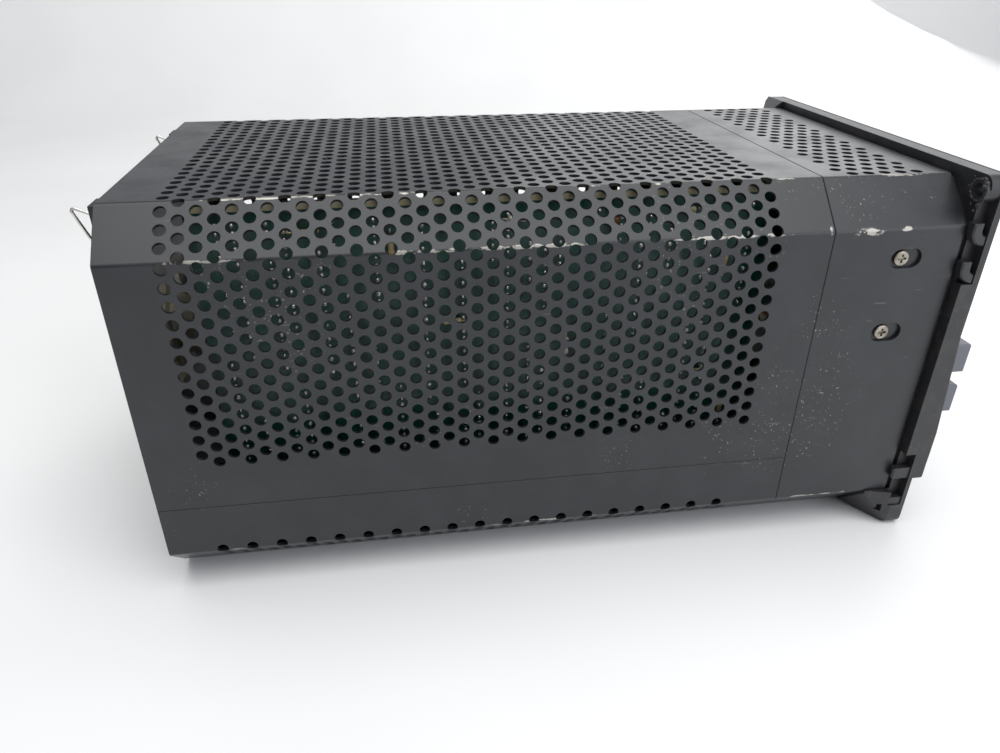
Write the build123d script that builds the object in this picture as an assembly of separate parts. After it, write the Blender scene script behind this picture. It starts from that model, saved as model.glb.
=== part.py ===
from build123d import *
import os

# Bench power supply. Millimetres, +Z up, front faces -Y.
# Origin: centre of the whole footprint, on the surface that it stands on.

# Case
case_width = 156.0
case_height = 138.6
case_depth = 278.0
corner_cut = 14.4          # 45 degree corners of the folded sheet
sheet = 1.2                # steel sheet of the three shells
bend_radius = 1.8          # outside radius of each fold
stand = 2.0                # clearance under the case
front_reach = 27.5         # button tips ahead of the case
rear_reach = 11.0          # wire links behind the case
shell_gap = 0.2            # open seam between two shells
sleeve_depth = 47.0        # front shell
seam_drop = 89.7           # side seam below the upper side fold
seam_bevel = 0.3           # bevelled edge of the front shell at its seam
fit_gap = 0.3              # between a fixed piece and what it slides into
run_gap = 0.05             # radial clearance of a running fit
past = 1.0                 # how far a cutting tool runs past a face
sunk = 0.5                 # how far a joined shape reaches into its neighbour

# Perforation: 4 mm holes on a 6 mm triangular pitch
hole_radius = 1.95
hole_pitch = 6.0
column_pitch = hole_pitch * 0.8660254
first_column = 18.8        # from the rear edge to the first column
last_column = 19.8         # least distance from the last column to the shell seam
side_rows = 12
side_first = 2.0           # first hole below the upper side fold
corner_first = 4.8         # first hole above the side fold, on the cut corner
corner_rows = 3
corner_edge_hole = 1.4     # hole that runs over the side fold
low_edge_hole = 0.9        # tray's hole that runs over its side fold
low_corner_first = 6.0     # tray's first hole below its side fold
low_corner_rows = 2
base_rows = 3              # rows of vents each side of the tray's middle
base_row_pitch = 12.0
sleeve_row_pitch = 5.77
sleeve_hole_pitch = 5.95
sleeve_holes = 5
sleeve_first = 9.5         # last hole's centre from the shell seam
sleeve_edge = 2.9          # least distance from the sleeve's outer rows to the fold
drill = 2.5                # a hole's tool reaches this far each side of the sheet

# Adjustment slots and their screws
slot_length = 11.4
slot_width = 7.0
slot_drops = (10.6, 38.3)
slot_from_front = 19.0
screw_shift = 1.4          # screws stand towards the rear end of their slots
screw_head_radius = 2.7
screw_radius = 1.5

# Bezel and front panel
bezel_neck = 2.0           # open groove between the sleeve and the bezel
bezel_plate = 6.5
bezel_frame = 4.0          # extra depth of the lower front frame
bezel_side_lip = 3.5
bezel_top_lip = 2.8
bezel_corner = 4.0
bezel_bevel = 0.6
frame_low_end = 21.0       # lower end of the deep front frame
frame_full = 44.0          # height where the frame reaches its full depth
frame_start = 86.0         # height where the frame starts to deepen
spigot_depth = 10.0
spigot_wall = 1.6
frame_round = 2.5          # rounded lower end of the deep frame
foot_depth = 11.0          # lower corner webs behind the bezel
gusset_depth = 3.6         # upper corner webs behind the bezel
gusset_flat = 0.4          # upper webs keep their full height this far
gusset_round = 2.6
recess_low = 10.0          # pocket in the bezel's side above each foot
recess_high = 34.7
recess_depth = 4.2
rest_block = (23.2, 28.2, 3.0)   # low and high end of the block in the pocket, and its reach behind
foot_block = (10.2, 13.6, 2.0)   # the same for the block at the foot
foot_slot = (2.0, 3.4)     # slot through the foot's web, in Y and Z
foot_slot_place = (4.2, 8.6)     # its centre behind the bezel, and its height
foot_slot_depth = 3.0
panel_thickness = 2.0
panel_recess = 1.5         # panel behind the bezel's front
panel_lip = 3.0            # width of the bezel lip that holds the panel
boss_radius = 4.0
boss_hole_radius = 2.4
boss_inset = 4.2           # from the bezel's side edge to the corner screw boss
boss_drop = 5.2            # from the bezel's top edge to the corner screw boss
tab_radius = 5.6           # curved clip stubs on the broken corner
tab_wall = 3.6
tab_rise = 2.4             # straight part above the curve
tab_bevel = 0.5
tab_drops = (6.5, 20.0)    # lower ends of the stubs below the upper side fold

# Rear panel
rear_panel_thickness = 2.0
rear_recess = 1.0

# Rubber pads under the rear
pad_radius = 8.0
pad_x = 50.0
pad_from_rear = 22.0
pad_bevel = 0.5

# Chassis plate inside the tray
chassis_gap = 3.0
chassis_thickness = 1.6
chassis_half = 60.0
chassis_from_seam = 14.0
flange_rise = 8.0          # rear flange that the rear panel screws into
post_inset = 10.0
post_radius = 4.0
pad_clearance = 2.5        # whole sheet round a pad or a chassis post

# Places worked out from the sizes above
half_width = case_width / 2
base_z = stand
top_z = stand + case_height
low_fold_z = base_z + corner_cut
high_fold_z = top_z - corner_cut
mid_z = (base_z + top_z) / 2
total_depth = case_depth + front_reach + rear_reach
rear_y = total_depth / 2 - rear_reach
front_y = rear_y - case_depth
seam_y = front_y + sleeve_depth
seam_z = high_fold_z - seam_drop
inner_x = half_width - sheet
fold_x = half_width - corner_cut
bezel_back_y = front_y - bezel_neck
bezel_front_y = bezel_back_y - bezel_plate
bezel_half = half_width + bezel_side_lip
bezel_top_z = top_z + bezel_top_lip
panel_front_y = bezel_front_y + panel_recess
panel_back_y = panel_front_y + panel_thickness
rear_face_y = rear_y - rear_recess
rear_inner_y = rear_face_y - rear_panel_thickness
column_count = int((case_depth - sleeve_depth - first_column - last_column) / column_pitch) + 1
top_half_rows = int(fold_x / hole_pitch)
sleeve_half_rows = int((fold_x - sleeve_edge) / sleeve_row_pitch + 0.5)
pad_y = rear_y - pad_from_rear
chassis_rear = rear_inner_y - 1.0
chassis_front = seam_y + chassis_from_seam
chassis_low = base_z + sheet + chassis_gap
chassis_z = chassis_low + chassis_thickness
half_diagonal = 0.70711    # run along a 45 degree face to its X or Z share

parts_folder = "parts"
os.makedirs(parts_folder, exist_ok=True)


def save(name, *solids):
    """Write one node, made of one or more separate solids."""
    shapes = []
    for item in solids:
        shapes.extend(item.solids())
    export_step(Compound(children=shapes), f"{parts_folder}/{name}.step")


def block(x0, x1, y0, y1, z0, z1):
    size = Box(x1 - x0, y1 - y0, z1 - z0)
    return Pos((x0 + x1) / 2, (y0 + y1) / 2, (z0 + z1) / 2) * size


def rod_x(x0, x1, y, z, radius):
    return Pos((x0 + x1) / 2, y, z) * Rot(0, 90, 0) * Cylinder(radius, x1 - x0)


def rod_y(x, y0, y1, z, radius):
    return Pos(x, (y0 + y1) / 2, z) * Rot(90, 0, 0) * Cylinder(radius, y1 - y0)


def rod_z(x, y, z0, z1, radius):
    return Pos(x, y, (z0 + z1) / 2) * Cylinder(radius, z1 - z0)


def along_y(sketch, y0, y1):
    """Extrude a sketch drawn in X and Z from y1 forward to y0."""
    plane = Plane(origin=(0, y1, 0), x_dir=(1, 0, 0), z_dir=(0, -1, 0))
    return extrude(plane * sketch, amount=y1 - y0)


def both_sides(shape):
    return [shape, mirror(shape, about=Plane.YZ)]


def octagon(inset, radius):
    """Case section, set in from the outside by inset, in X and Z."""
    cut = corner_cut - inset * 0.5858
    x = half_width - inset
    z0 = base_z + inset
    z1 = top_z - inset
    points = [(-x, z0 + cut), (-x, z1 - cut), (cut - x, z1), (x - cut, z1),
              (x, z1 - cut), (x, z0 + cut), (x - cut, z0), (cut - x, z0)]
    sketch = make_face(Polyline(*points, close=True))
    return fillet(sketch.vertices(), radius)


def shell_ring(outer_inset, wall, y0, y1):
    outer = along_y(octagon(outer_inset, bend_radius), y0, y1)
    inner = along_y(octagon(outer_inset + wall, bend_radius - sheet), y0, y1)
    return outer - inner


def tilted_hole(x, y, z, turn):
    """Hole square to a face or fold that is turned from level by turn degrees."""
    return Pos(x, y, z) * Rot(0, turn, 0) * Cylinder(hole_radius, 2 * drill)


def side_hole(side, y, z):
    return rod_x(side * half_width - drill, side * half_width + drill, y, z, hole_radius)


def flat_hole(x, y, z):
    return rod_z(x, y, z - drill, z + drill, hole_radius)


def column_y(index):
    return rear_y - first_column - column_pitch * index


def upper_holes():
    tools = []
    for index in range(column_count):
        y = column_y(index)
        odd = index % 2
        shift = hole_pitch / 2 * odd
        for side in (-1, 1):
            for row in range(side_rows):
                tools.append(side_hole(side, y, high_fold_z - side_first - shift - hole_pitch * row))
            for row in range(corner_rows - odd):
                climb = (corner_first + shift + hole_pitch * row) * half_diagonal
                tools.append(tilted_hole(side * (half_width - climb), y, high_fold_z + climb, side * 45))
            if odd:
                edge = corner_edge_hole * half_diagonal
                tools.append(tilted_hole(side * (half_width - edge), y, high_fold_z + edge, side * 67.5))
        for step in range(-top_half_rows - odd, top_half_rows + 1):
            x = hole_pitch * step + shift
            if abs(x) > fold_x - hole_radius:
                side = 1 if x > 0 else -1
                tools.append(tilted_hole(side * fold_x, y, top_z, side * 22.5))
            else:
                tools.append(flat_hole(x, y, top_z))
    return tools


def tray_holes():
    tools = []
    for index in range(column_count):
        y = column_y(index)
        odd = index % 2
        shift = hole_pitch / 2 * odd
        for side in (-1, 1):
            if not odd:
                tools.append(side_hole(side, y, low_fold_z + low_edge_hole))
            for row in range(low_corner_rows):
                climb = (low_corner_first + shift + hole_pitch * row) * half_diagonal
                tools.append(tilted_hole(side * (half_width - climb), y, low_fold_z - climb, side * 135))
        if not odd:
            for step in range(-base_rows, base_rows + 1):
                tools.append(flat_hole(base_row_pitch * step, y, base_z))
    return [tool for tool in tools if keeps_clear_of_pads(tool)]


def keeps_clear_of_pads(tool):
    """True where a tray hole leaves the sheet over a rubber pad and a chassis post whole."""
    place = tool.center()
    if place.Z > base_z + sheet:
        return True
    for x, y in [(side * pad_x, pad_y) for side in (-1, 1)] + chassis_post_places():
        if (abs(place.X) - abs(x)) ** 2 + (place.Y - y) ** 2 < (pad_radius + pad_clearance) ** 2:
            return False
    return True


def chassis_post_places():
    x = chassis_half - post_inset
    return [(side * x, y) for side in (-1, 1)
            for y in (chassis_front + post_inset, (chassis_front + chassis_rear) / 2, pad_y)]


def above(z):
    """Space behind the sleeve that reaches from z up past the case's top."""
    return block(-case_width, case_width, seam_y - 1, rear_y + 1, z, top_z + 1)


def make_shells():
    body = shell_ring(0, sheet, seam_y + shell_gap, rear_y)
    save("upper_cover", (body & above(seam_z)).cut(*upper_holes()))
    save("lower_tray", (body - above(seam_z - shell_gap)).cut(*tray_holes()))


def slot_places():
    return [(front_y + slot_from_front, high_fold_z - drop) for drop in slot_drops]


def make_front_sleeve():
    sleeve = shell_ring(0, sheet, front_y, seam_y)
    seam_face = sleeve.faces().sort_by(Axis.Y)[-1]
    sleeve = chamfer(seam_face.outer_wire().edges(), seam_bevel)
    tools = []
    for row in range(2 * sleeve_half_rows):
        x = (row - sleeve_half_rows + 0.5) * sleeve_row_pitch
        first = seam_y - sleeve_first + (0 if row % 2 else -sleeve_hole_pitch / 2)
        for step in range(sleeve_holes):
            tools.append(flat_hole(x, first - sleeve_hole_pitch * step, top_z))
    for y, z in slot_places():
        for side in (-1, 1):
            plane = Plane(origin=(side * half_width, y, z), x_dir=(0, 1, 0), z_dir=(side, 0, 0))
            tools.append(extrude(plane * SlotOverall(slot_length, slot_width), amount=drill, both=True))
    save("front_sleeve", sleeve.cut(*tools))


# Pieces that join the shells
band_wall = 1.5
band_half = 10.0
rail_height = 13.0
rail_thickness = 6.0
rail_hole_radius = 1.25
rail_front = seam_y + band_half + 2.0


def make_joiners():
    save("lap_band", shell_ring(sheet, band_wall, seam_y - band_half, seam_y + band_half))
    rail = block(-inner_x, rail_thickness - inner_x, rail_front, rear_inner_y,
                 seam_z - rail_height / 2, seam_z + rail_height / 2)
    rail -= rod_y(-inner_x + rail_thickness / 2, rear_inner_y - 12, rear_inner_y + 1, seam_z,
                  rail_hole_radius)
    save("side_rails", *both_sides(rail))


bracket_plate = 2.2
bracket_rear = front_y + 34.0
bracket_low = high_fold_z - 46.0
bracket_high = high_fold_z - 3.0
bracket_flange = 12.0
spigot_inner_x = inner_x - fit_gap - spigot_wall


def make_front_brackets():
    outer = block(-inner_x, bracket_plate - inner_x, front_y + spigot_depth + 1, bracket_rear,
                  bracket_low, bracket_high)
    inner_face = -spigot_inner_x + fit_gap
    inner = block(inner_face, inner_face + bracket_plate, panel_back_y, bracket_rear,
                  bracket_low, bracket_high)
    flange = block(inner_face, inner_face + bracket_flange, panel_back_y, panel_back_y + bracket_plate,
                   bracket_low, bracket_high)
    bracket = outer + inner + flange
    for y, z in slot_places():
        bracket -= rod_x(-inner_x - 1, -inner_x + 8, y + screw_shift, z, screw_radius)
    save("front_brackets", *both_sides(bracket))


cross_head_height = 1.1
cross_head_round = 0.5
cross_arm = 0.8
cross_reach = 3.0
cross_floor = 0.4          # metal left under the cross
cross_shank = 3.6


def cross_screw_x(x, y, z):
    """Pan-head screw pointing along +X with its head's underside at x."""
    top = x - cross_head_height
    head = rod_x(top, x, y, z, screw_head_radius)
    head = fillet(head.edges().group_by(Axis.X)[0], cross_head_round)
    arm = cross_arm / 2
    reach = cross_reach / 2
    cross = block(top - past, x - cross_floor, y - reach, y + reach, z - arm, z + arm)
    cross += block(top - past, x - cross_floor, y - arm, y + arm, z - reach, z + reach)
    return head + rod_x(x, x + cross_shank, y, z, screw_radius - 0.02) - cross


def make_side_screws():
    screws = []
    for y, z in slot_places():
        screws += both_sides(cross_screw_x(-inner_x, y + screw_shift, z))
    save("side_slot_screws", *screws)


# Bezel moulding
def bezel_outline(z0, z1):
    sketch = Pos(0, (z0 + z1) / 2) * Rectangle(2 * bezel_half, z1 - z0)
    return fillet(sketch.vertices(), bezel_corner)


panel_inset = sheet + fit_gap + spigot_wall + 0.2


def frame_side_profile():
    """Side view of the deep front frame, in Y and Z."""
    deep = bezel_front_y - bezel_frame
    thin = bezel_front_y - bezel_bevel
    points = [(bezel_front_y, frame_low_end), (deep, frame_low_end), (deep, frame_full),
              (thin, frame_start), (thin, bezel_top_z), (bezel_front_y, bezel_top_z)]
    face = make_face(Plane.YZ * Polyline(*points, close=True))
    frame = extrude(face, amount=bezel_half - bezel_bevel, both=True)
    low_edge = frame.edges().filter_by(Axis.X).group_by(Axis.Z)[0].sort_by(Axis.Y)[0]
    return fillet(low_edge, frame_round)


def corner_web(low):
    """Web behind a bezel corner on the +X side, tapering back to the case's cut corner."""
    lip = stand if low else bezel_top_lip
    y0 = bezel_back_y
    y1 = y0 + (foot_depth if low else gusset_depth)
    start = y0 if low else y0 + gusset_flat
    clear = 0.05
    thin = 0.6
    fold = corner_cut + lip
    front = [(bezel_half, gusset_round), (bezel_half, fold), (half_width + clear, fold), (fold_x, lip),
             (fold_x, 0), (bezel_half - gusset_round, 0)]
    back = [(half_width + thin, fold - 2 * thin), (half_width + thin, fold), (half_width + clear, fold),
            (fold_x, lip), (fold_x, lip - thin), (fold_x + thin, lip - thin)]

    def outline(points, y):
        return make_face(Polyline(*[(x, y, h if low else bezel_top_z - h) for x, h in points], close=True))

    web = loft([outline(front, start), outline(back, y1)])
    if not low:
        web += extrude(outline(front, start), amount=gusset_flat, dir=(0, -1, 0))
    return web - along_y(octagon(-0.15, bend_radius), y0 - 1, y1 + 1)


def cut_foot_slot(web):
    back, height = foot_slot_place
    width, tall = foot_slot
    y = bezel_back_y + back
    return web - block(half_width - foot_slot_depth, bezel_half + past, y - width / 2, y + width / 2,
                       height - tall / 2, height + tall / 2)


def side_recess():
    """Pocket in the back of the bezel's side, above the foot."""
    return block(half_width, bezel_half + 1, bezel_back_y - recess_depth, bezel_back_y + 1,
                 recess_low, recess_high)


def recess_block(size):
    low_end, high_end, reach = size
    solid = block(half_width + fit_gap, bezel_half - bezel_bevel, bezel_back_y - recess_depth - 0.5,
                  bezel_back_y + reach, low_end, high_end)
    return chamfer(solid.edges().group_by(Axis.Y)[-1], bezel_bevel)


def broken_corner():
    """Space of the corner that has broken away, upper corner on the -X side."""
    edge_left = 0.2
    rim_left = 4.5
    return block(-bezel_half - 1, edge_left - half_width, bezel_back_y - recess_depth, bezel_back_y + 1,
                 high_fold_z - 20.0, bezel_top_z - rim_left)


def corner_boss():
    x = -bezel_half + boss_inset
    z = bezel_top_z - boss_drop
    boss = rod_y(x, bezel_back_y - recess_depth - 0.5, bezel_back_y + 1.2, z, boss_radius)
    return boss, rod_y(x, bezel_back_y - 9, bezel_back_y + 3, z, boss_hole_radius)


def clip_stub(drop):
    """Curved stub of a broken clip on the bezel's side: a quarter tube with a straight rim."""
    x0 = 0.2 - bezel_half
    x1 = 0.3 - half_width
    y = bezel_back_y - recess_depth
    low = high_fold_z - drop
    z = low + tab_radius
    rim = y + tab_radius
    ring = rod_x(x0, x1, y, z, tab_radius) - rod_x(x0 - 1, x1 + 1, y, z, tab_radius - tab_wall)
    stub = (ring & block(x0, x1, y, rim, low, z)) + block(x0, x1, rim - tab_wall, rim, z, z + tab_rise)
    stub = chamfer(stub.edges().group_by(Axis.X)[0], tab_bevel)
    return stub + block(x0 + tab_bevel, x1, y - sunk, y + tab_wall / 2, low + tab_bevel, low + tab_wall)


def make_bezel():
    plate = along_y(bezel_outline(0, bezel_top_z), bezel_front_y, bezel_back_y)
    plate = chamfer(plate.edges().filter_by(GeomType.LINE).group_by(Axis.Y)[0], bezel_bevel)
    window = along_y(octagon(panel_inset + panel_lip, 1.0), bezel_front_y - 9, bezel_back_y + 9)
    rebate = along_y(octagon(panel_inset, 1.0), panel_front_y, bezel_back_y + 20)
    frame = frame_side_profile() & along_y(bezel_outline(frame_low_end, bezel_top_z),
                                           bezel_front_y - 9, bezel_front_y + 1)
    spigot = along_y(octagon(sheet + fit_gap, 0.8), bezel_back_y - 0.5, front_y + spigot_depth)
    bezel = plate + frame + spigot
    low_web = corner_web(True)
    for shape in both_sides(cut_foot_slot(low_web)):
        bezel += shape
    bezel += corner_web(False)
    bezel -= window
    bezel -= rebate
    for shape in both_sides(side_recess()):
        bezel -= shape
    for size in (rest_block, foot_block):
        for shape in both_sides(recess_block(size)):
            bezel += shape
    bezel -= broken_corner()
    boss, hole = corner_boss()
    bezel += boss
    bezel -= hole
    for drop in tab_drops:
        bezel += clip_stub(drop)
    save("front_bezel", bezel)


# Front panel and its controls
meter_x = 37.0
meter_z = top_z - 38.0
meter_width = 60.0
meter_height = 46.0
meter_proud = 12.0
meter_wall = 1.6
meter_can_radius = 19.0
meter_can_depth = 26.0
window_glass = 1.5
scale_plate = 0.8
needle_length = 25.0
needle_pivot_drop = 12.0
needle_pin_radius = 0.6
needle_rest = 40.0         # degrees left of upright at zero
knob_radius = 12.0
knob_depth = 15.0
knob_z = mid_z - 14.0
knob_places = {"voltage": -8.0, "current": 40.0}
shaft_radius = 3.0
bushing_radius = 4.5
button_size = 12.0
button_x = -half_width + 16.0
button_drops = {"power": 57.5, "output": 75.5}
button_tip_y = front_y - front_reach
button_travel = 3.0
plunger_size = 6.0
lamp_radius = 2.5
lamp_places = {"power": (button_x, high_fold_z - 90.0), "limit": (16.0, knob_z)}
post_pitch = 19.0
post_z = base_z + 22.0
post_x = {"negative": 10.0, "earth": 10.0 + post_pitch, "positive": 10.0 + 2 * post_pitch}
post_tube_radius = 3.0
socket_radius = 2.0
socket_depth = 14.0
post_cap_radius = 6.0
post_cap_length = 12.0
post_cap_travel = 4.0
post_base_radius = 7.0
post_base_proud = 3.0
post_tip_y = panel_front_y - post_base_proud - post_cap_length - 1.0
panel_screw_radius = 1.5


def button_z(name):
    return high_fold_z - button_drops[name]


lamp_hole_wall = 1.0       # panel hole round a lamp holder, and round a post's collar
post_hole_wall = 2.0


def make_front_panel():
    panel = along_y(octagon(panel_inset + fit_gap, 1.0), panel_front_y, panel_back_y)
    y0 = panel_front_y - past
    y1 = panel_back_y + past
    for side in (-1, 1):
        panel -= rod_y(side * meter_x, y0, y1, meter_z, meter_can_radius + fit_gap)
    for x in knob_places.values():
        panel -= rod_y(x, y0, y1, knob_z, bushing_radius + run_gap)
    for x, z in lamp_places.values():
        panel -= rod_y(x, y0, y1, z, lamp_radius + lamp_hole_wall)
    for x in post_x.values():
        panel -= rod_y(x, y0, y1, post_z, post_tube_radius + post_hole_wall)
    half = plunger_size / 2 + fit_gap
    for name in button_drops:
        z = button_z(name)
        panel -= block(button_x - half, button_x + half, y0, y1, z - half, z + half)
    save("front_panel", panel)


meter_round = 2.0
meter_floor = 2.0          # floor of the case, which the scale plate lies on
window_gap = 0.1
apron_wall = 1.0           # apron that covers the pivot, and its margin in the case
scale_drop = 8.0           # lower edge of the scale plate below the meter's middle
pin_setback = 3.0          # front end of the pivot pin behind the window's face
needle_lift = 1.6          # needle ahead of the scale plate
needle_half_thick = 0.25
needle_half_width = 0.4
hub_radius = 2.6
hub_half = 0.8
tail_length = 5.0
tail_half_width = 0.9


def make_needle(x, y, pivot_z):
    hub = rod_y(x, y - hub_half, y + hub_half, pivot_z, hub_radius)
    arm = block(x - needle_half_width, x + needle_half_width, y - needle_half_thick, y + needle_half_thick,
                pivot_z + 1, pivot_z + needle_length)
    tail = block(x - tail_half_width, x + tail_half_width, y - needle_half_thick, y + needle_half_thick,
                 pivot_z - tail_length, pivot_z - 1)
    needle = hub + arm + tail - rod_y(x, y - hub_half - past, y + hub_half + past, pivot_z,
                                      needle_pin_radius + run_gap)
    return needle.rotate(Axis((x, y, pivot_z), (0, -1, 0)), needle_rest)


def make_meter(name, x):
    front = panel_front_y - meter_proud
    floor_y = panel_front_y - meter_floor
    w = meter_width / 2
    h = meter_height / 2
    shell = block(x - w, x + w, front, panel_front_y, meter_z - h, meter_z + h)
    shell = fillet(shell.edges().filter_by(Axis.Y), meter_round)
    inside = block(x - w + meter_wall, x + w - meter_wall, front - past, floor_y,
                   meter_z - h + meter_wall, meter_z + h - meter_wall)
    can = rod_y(x, panel_front_y - 2 * sunk, panel_back_y + meter_can_depth, meter_z, meter_can_radius)
    pivot_z = meter_z - needle_pivot_drop
    pin = rod_y(x, front + pin_setback, floor_y + sunk, pivot_z, needle_pin_radius)
    apron_y = front + window_glass + window_gap
    apron = block(x - w + apron_wall, x + w - apron_wall, apron_y, apron_y + apron_wall,
                  meter_z - h + apron_wall, meter_z - scale_drop)
    save(f"{name}_case", shell - inside + can + pin + apron)
    plate_y = floor_y - scale_plate
    plate = block(x - w + meter_wall + fit_gap, x + w - meter_wall - fit_gap, plate_y, floor_y,
                  meter_z - scale_drop, meter_z + h - meter_wall - fit_gap)
    save(f"{name}_needle", make_needle(x, plate_y - needle_lift, pivot_z))
    edge = meter_wall + window_gap
    glass = block(x - w + edge, x + w - edge, front, front + window_glass,
                  meter_z - h + edge, meter_z + h - edge)
    return plate, glass


def make_meters():
    plates = []
    glasses = []
    for name, side in (("voltmeter", -1), ("ammeter", 1)):
        plate, glass = make_meter(name, side * meter_x)
        plates.append(plate)
        glasses.append(glass)
    save("meter_scale_plates", *plates)
    save("meter_windows", *glasses)


knob_gap = 2.6             # from the panel to the back of a knob
knob_bevel = 1.2
flute_count = 18
flute_radius = 1.1
flute_outset = 0.5         # centre of a flute outside the knob's rim
flute_stop = 4.0           # plain rim left at the back
shaft_grip = 11.0          # shaft inside the knob
line_half = 0.5            # groove for the pointer line
line_depth = 0.8
line_start = 2.0
skirt_depth = 1.8          # hollow in the knob's back that clears the nut
skirt_clear = 3.6
shaft_reach = 14.0         # shaft, can and rear cap of a potentiometer, behind the panel
pot_gap = 0.2
pot_radius = 12.0
pot_depth = 11.0
pot_cap_radius = 8.0
pot_cap_end = 16.0
pot_lug_half = 9.0
pot_lug_ends = (4.0, 6.0)
pot_lug_drops = (17.0, 8.0)
bushing_proud = 2.4
pot_nut_radius = 7.1
pot_nut_height = 2.0


def make_potentiometer(x, shaft_end):
    body = rod_y(x, panel_back_y + pot_gap, panel_back_y + pot_depth, knob_z, pot_radius)
    body += rod_y(x, panel_front_y - bushing_proud, panel_back_y + pot_gap + 0.1, knob_z, bushing_radius)
    body += block(x - pot_lug_half, x + pot_lug_half, panel_back_y + pot_lug_ends[0],
                  panel_back_y + pot_lug_ends[1], knob_z - pot_lug_drops[0], knob_z - pot_lug_drops[1])
    body += rod_y(x, panel_back_y + pot_depth, panel_back_y + pot_cap_end, knob_z, pot_cap_radius)
    return body - rod_y(x, panel_front_y - bushing_proud - past, shaft_end + past, knob_z,
                        shaft_radius + run_gap)


def make_knob(name, x):
    back = panel_front_y - knob_gap
    front = back - knob_depth
    knob = rod_y(x, front, back, knob_z, knob_radius)
    knob = chamfer(knob.edges().group_by(Axis.Y)[0], knob_bevel)
    for index in range(flute_count):
        flute = rod_y(knob_radius + flute_outset, front - past, back - flute_stop, 0, flute_radius)
        knob -= Pos(x, 0, knob_z) * Rot(0, 360 / flute_count * index, 0) * flute
    knob -= rod_y(x, back - shaft_grip, back + past, knob_z, shaft_radius)
    knob -= block(x - line_half, x + line_half, front - past, front + line_depth, knob_z + line_start,
                  knob_z + knob_radius + past)
    knob -= rod_y(x, back - skirt_depth, back + past, knob_z, bushing_radius + skirt_clear)
    save(f"{name}_knob", knob)
    shaft_end = panel_back_y + shaft_reach
    save(f"{name}_shaft", rod_y(x, back - shaft_grip, shaft_end, knob_z, shaft_radius))
    nut = extrude(RegularPolygon(pot_nut_radius, 6), amount=pot_nut_height)
    nut = Pos(x, panel_front_y, knob_z) * Rot(90, 0, 0) * nut
    nut -= rod_y(x, panel_front_y - pot_nut_height - past, panel_front_y + past, knob_z, bushing_radius)
    return make_potentiometer(x, shaft_end), nut


def make_knobs():
    bodies = []
    nuts = []
    for name, x in knob_places.items():
        body, nut = make_knob(name, x)
        bodies.append(body)
        nuts.append(nut)
    save("control_pots", *bodies)
    return nuts


button_gap = 0.5           # left between a pressed cap and the panel
button_round = 0.8
button_bevel = 0.7
plunger_reach = 9.0        # plunger behind the panel
switch_half_width = 8.0
switch_half_height = 8.5
switch_depth = 22.0
switch_bore = 13.0
switch_lug_offset = 4.0
switch_lug_half = (0.4, 1.4)
switch_lug_length = 6.0


def make_switch(z):
    y = panel_back_y
    body = block(button_x - switch_half_width, button_x + switch_half_width, y, y + switch_depth,
                 z - switch_half_height, z + switch_half_height)
    bore = plunger_size / 2 + run_gap
    body -= block(button_x - bore, button_x + bore, y - past, y + switch_bore, z - bore, z + bore)
    thin, wide = switch_lug_half
    for lug_z in (z - switch_lug_offset, z + switch_lug_offset):
        body += block(button_x - thin, button_x + thin, y + switch_depth, y + switch_depth + switch_lug_length,
                      lug_z - wide, lug_z + wide)
    return body


def make_buttons():
    half = button_size / 2
    stem = plunger_size / 2
    cap_back = panel_front_y - button_travel - button_gap
    for name in button_drops:
        z = button_z(name)
        cap = block(button_x - half, button_x + half, button_tip_y, cap_back, z - half, z + half)
        cap = fillet(cap.edges().filter_by(Axis.Y), button_round)
        cap = chamfer(cap.edges().group_by(Axis.Y)[0], button_bevel)
        plunger = block(button_x - stem, button_x + stem, cap_back, panel_back_y + plunger_reach,
                        z - stem, z + stem)
        save(f"{name}_button", cap + plunger)
    save("push_switches", *[make_switch(button_z(name)) for name in button_drops])


lens_proud = 2.5
lens_rear = 5.0
lens_round = 1.8
holder_wall = 0.95
holder_rear = 4.0
holder_rim = 2.0           # rim outside the lens, and its thickness
holder_rim_proud = 1.2


def make_lamps():
    lenses = []
    holders = []
    for x, z in lamp_places.values():
        lens = rod_y(x, panel_front_y - lens_proud, panel_back_y + lens_rear, z, lamp_radius)
        lenses.append(fillet(lens.edges().group_by(Axis.Y)[0], lens_round))
        holder = rod_y(x, panel_front_y, panel_back_y + holder_rear, z, lamp_radius + holder_wall)
        holder += rod_y(x, panel_front_y - holder_rim_proud, panel_front_y, z, lamp_radius + holder_rim)
        holders.append(holder - rod_y(x, panel_front_y - lens_proud - past, panel_back_y + lens_rear + past, z,
                                      lamp_radius))
    save("lamp_lenses", *lenses)
    save("lamp_holders", *holders)


collar_wall = 1.9          # insulating collar through the panel
collar_rear = 3.0
post_rear = 14.0           # post's threaded end behind the panel
post_nut_radius = 6.0
post_nut_height = 2.4
notch_count = 16
notch_radius = 0.7
notch_outset = 0.3
notch_margin = 2.0         # plain rim at each end of a cap


def make_post_cap(x):
    back = panel_front_y - post_base_proud - fit_gap
    front = back - post_cap_length
    cap = rod_y(x, front, back, post_z, post_cap_radius)
    for index in range(notch_count):
        notch = rod_y(post_cap_radius + notch_outset, front + notch_margin, back - notch_margin, 0, notch_radius)
        cap -= Pos(x, 0, post_z) * Rot(0, 360 / notch_count * index, 0) * notch
    return cap - rod_y(x, front - past, back + past, post_z, post_tube_radius + run_gap)


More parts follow.
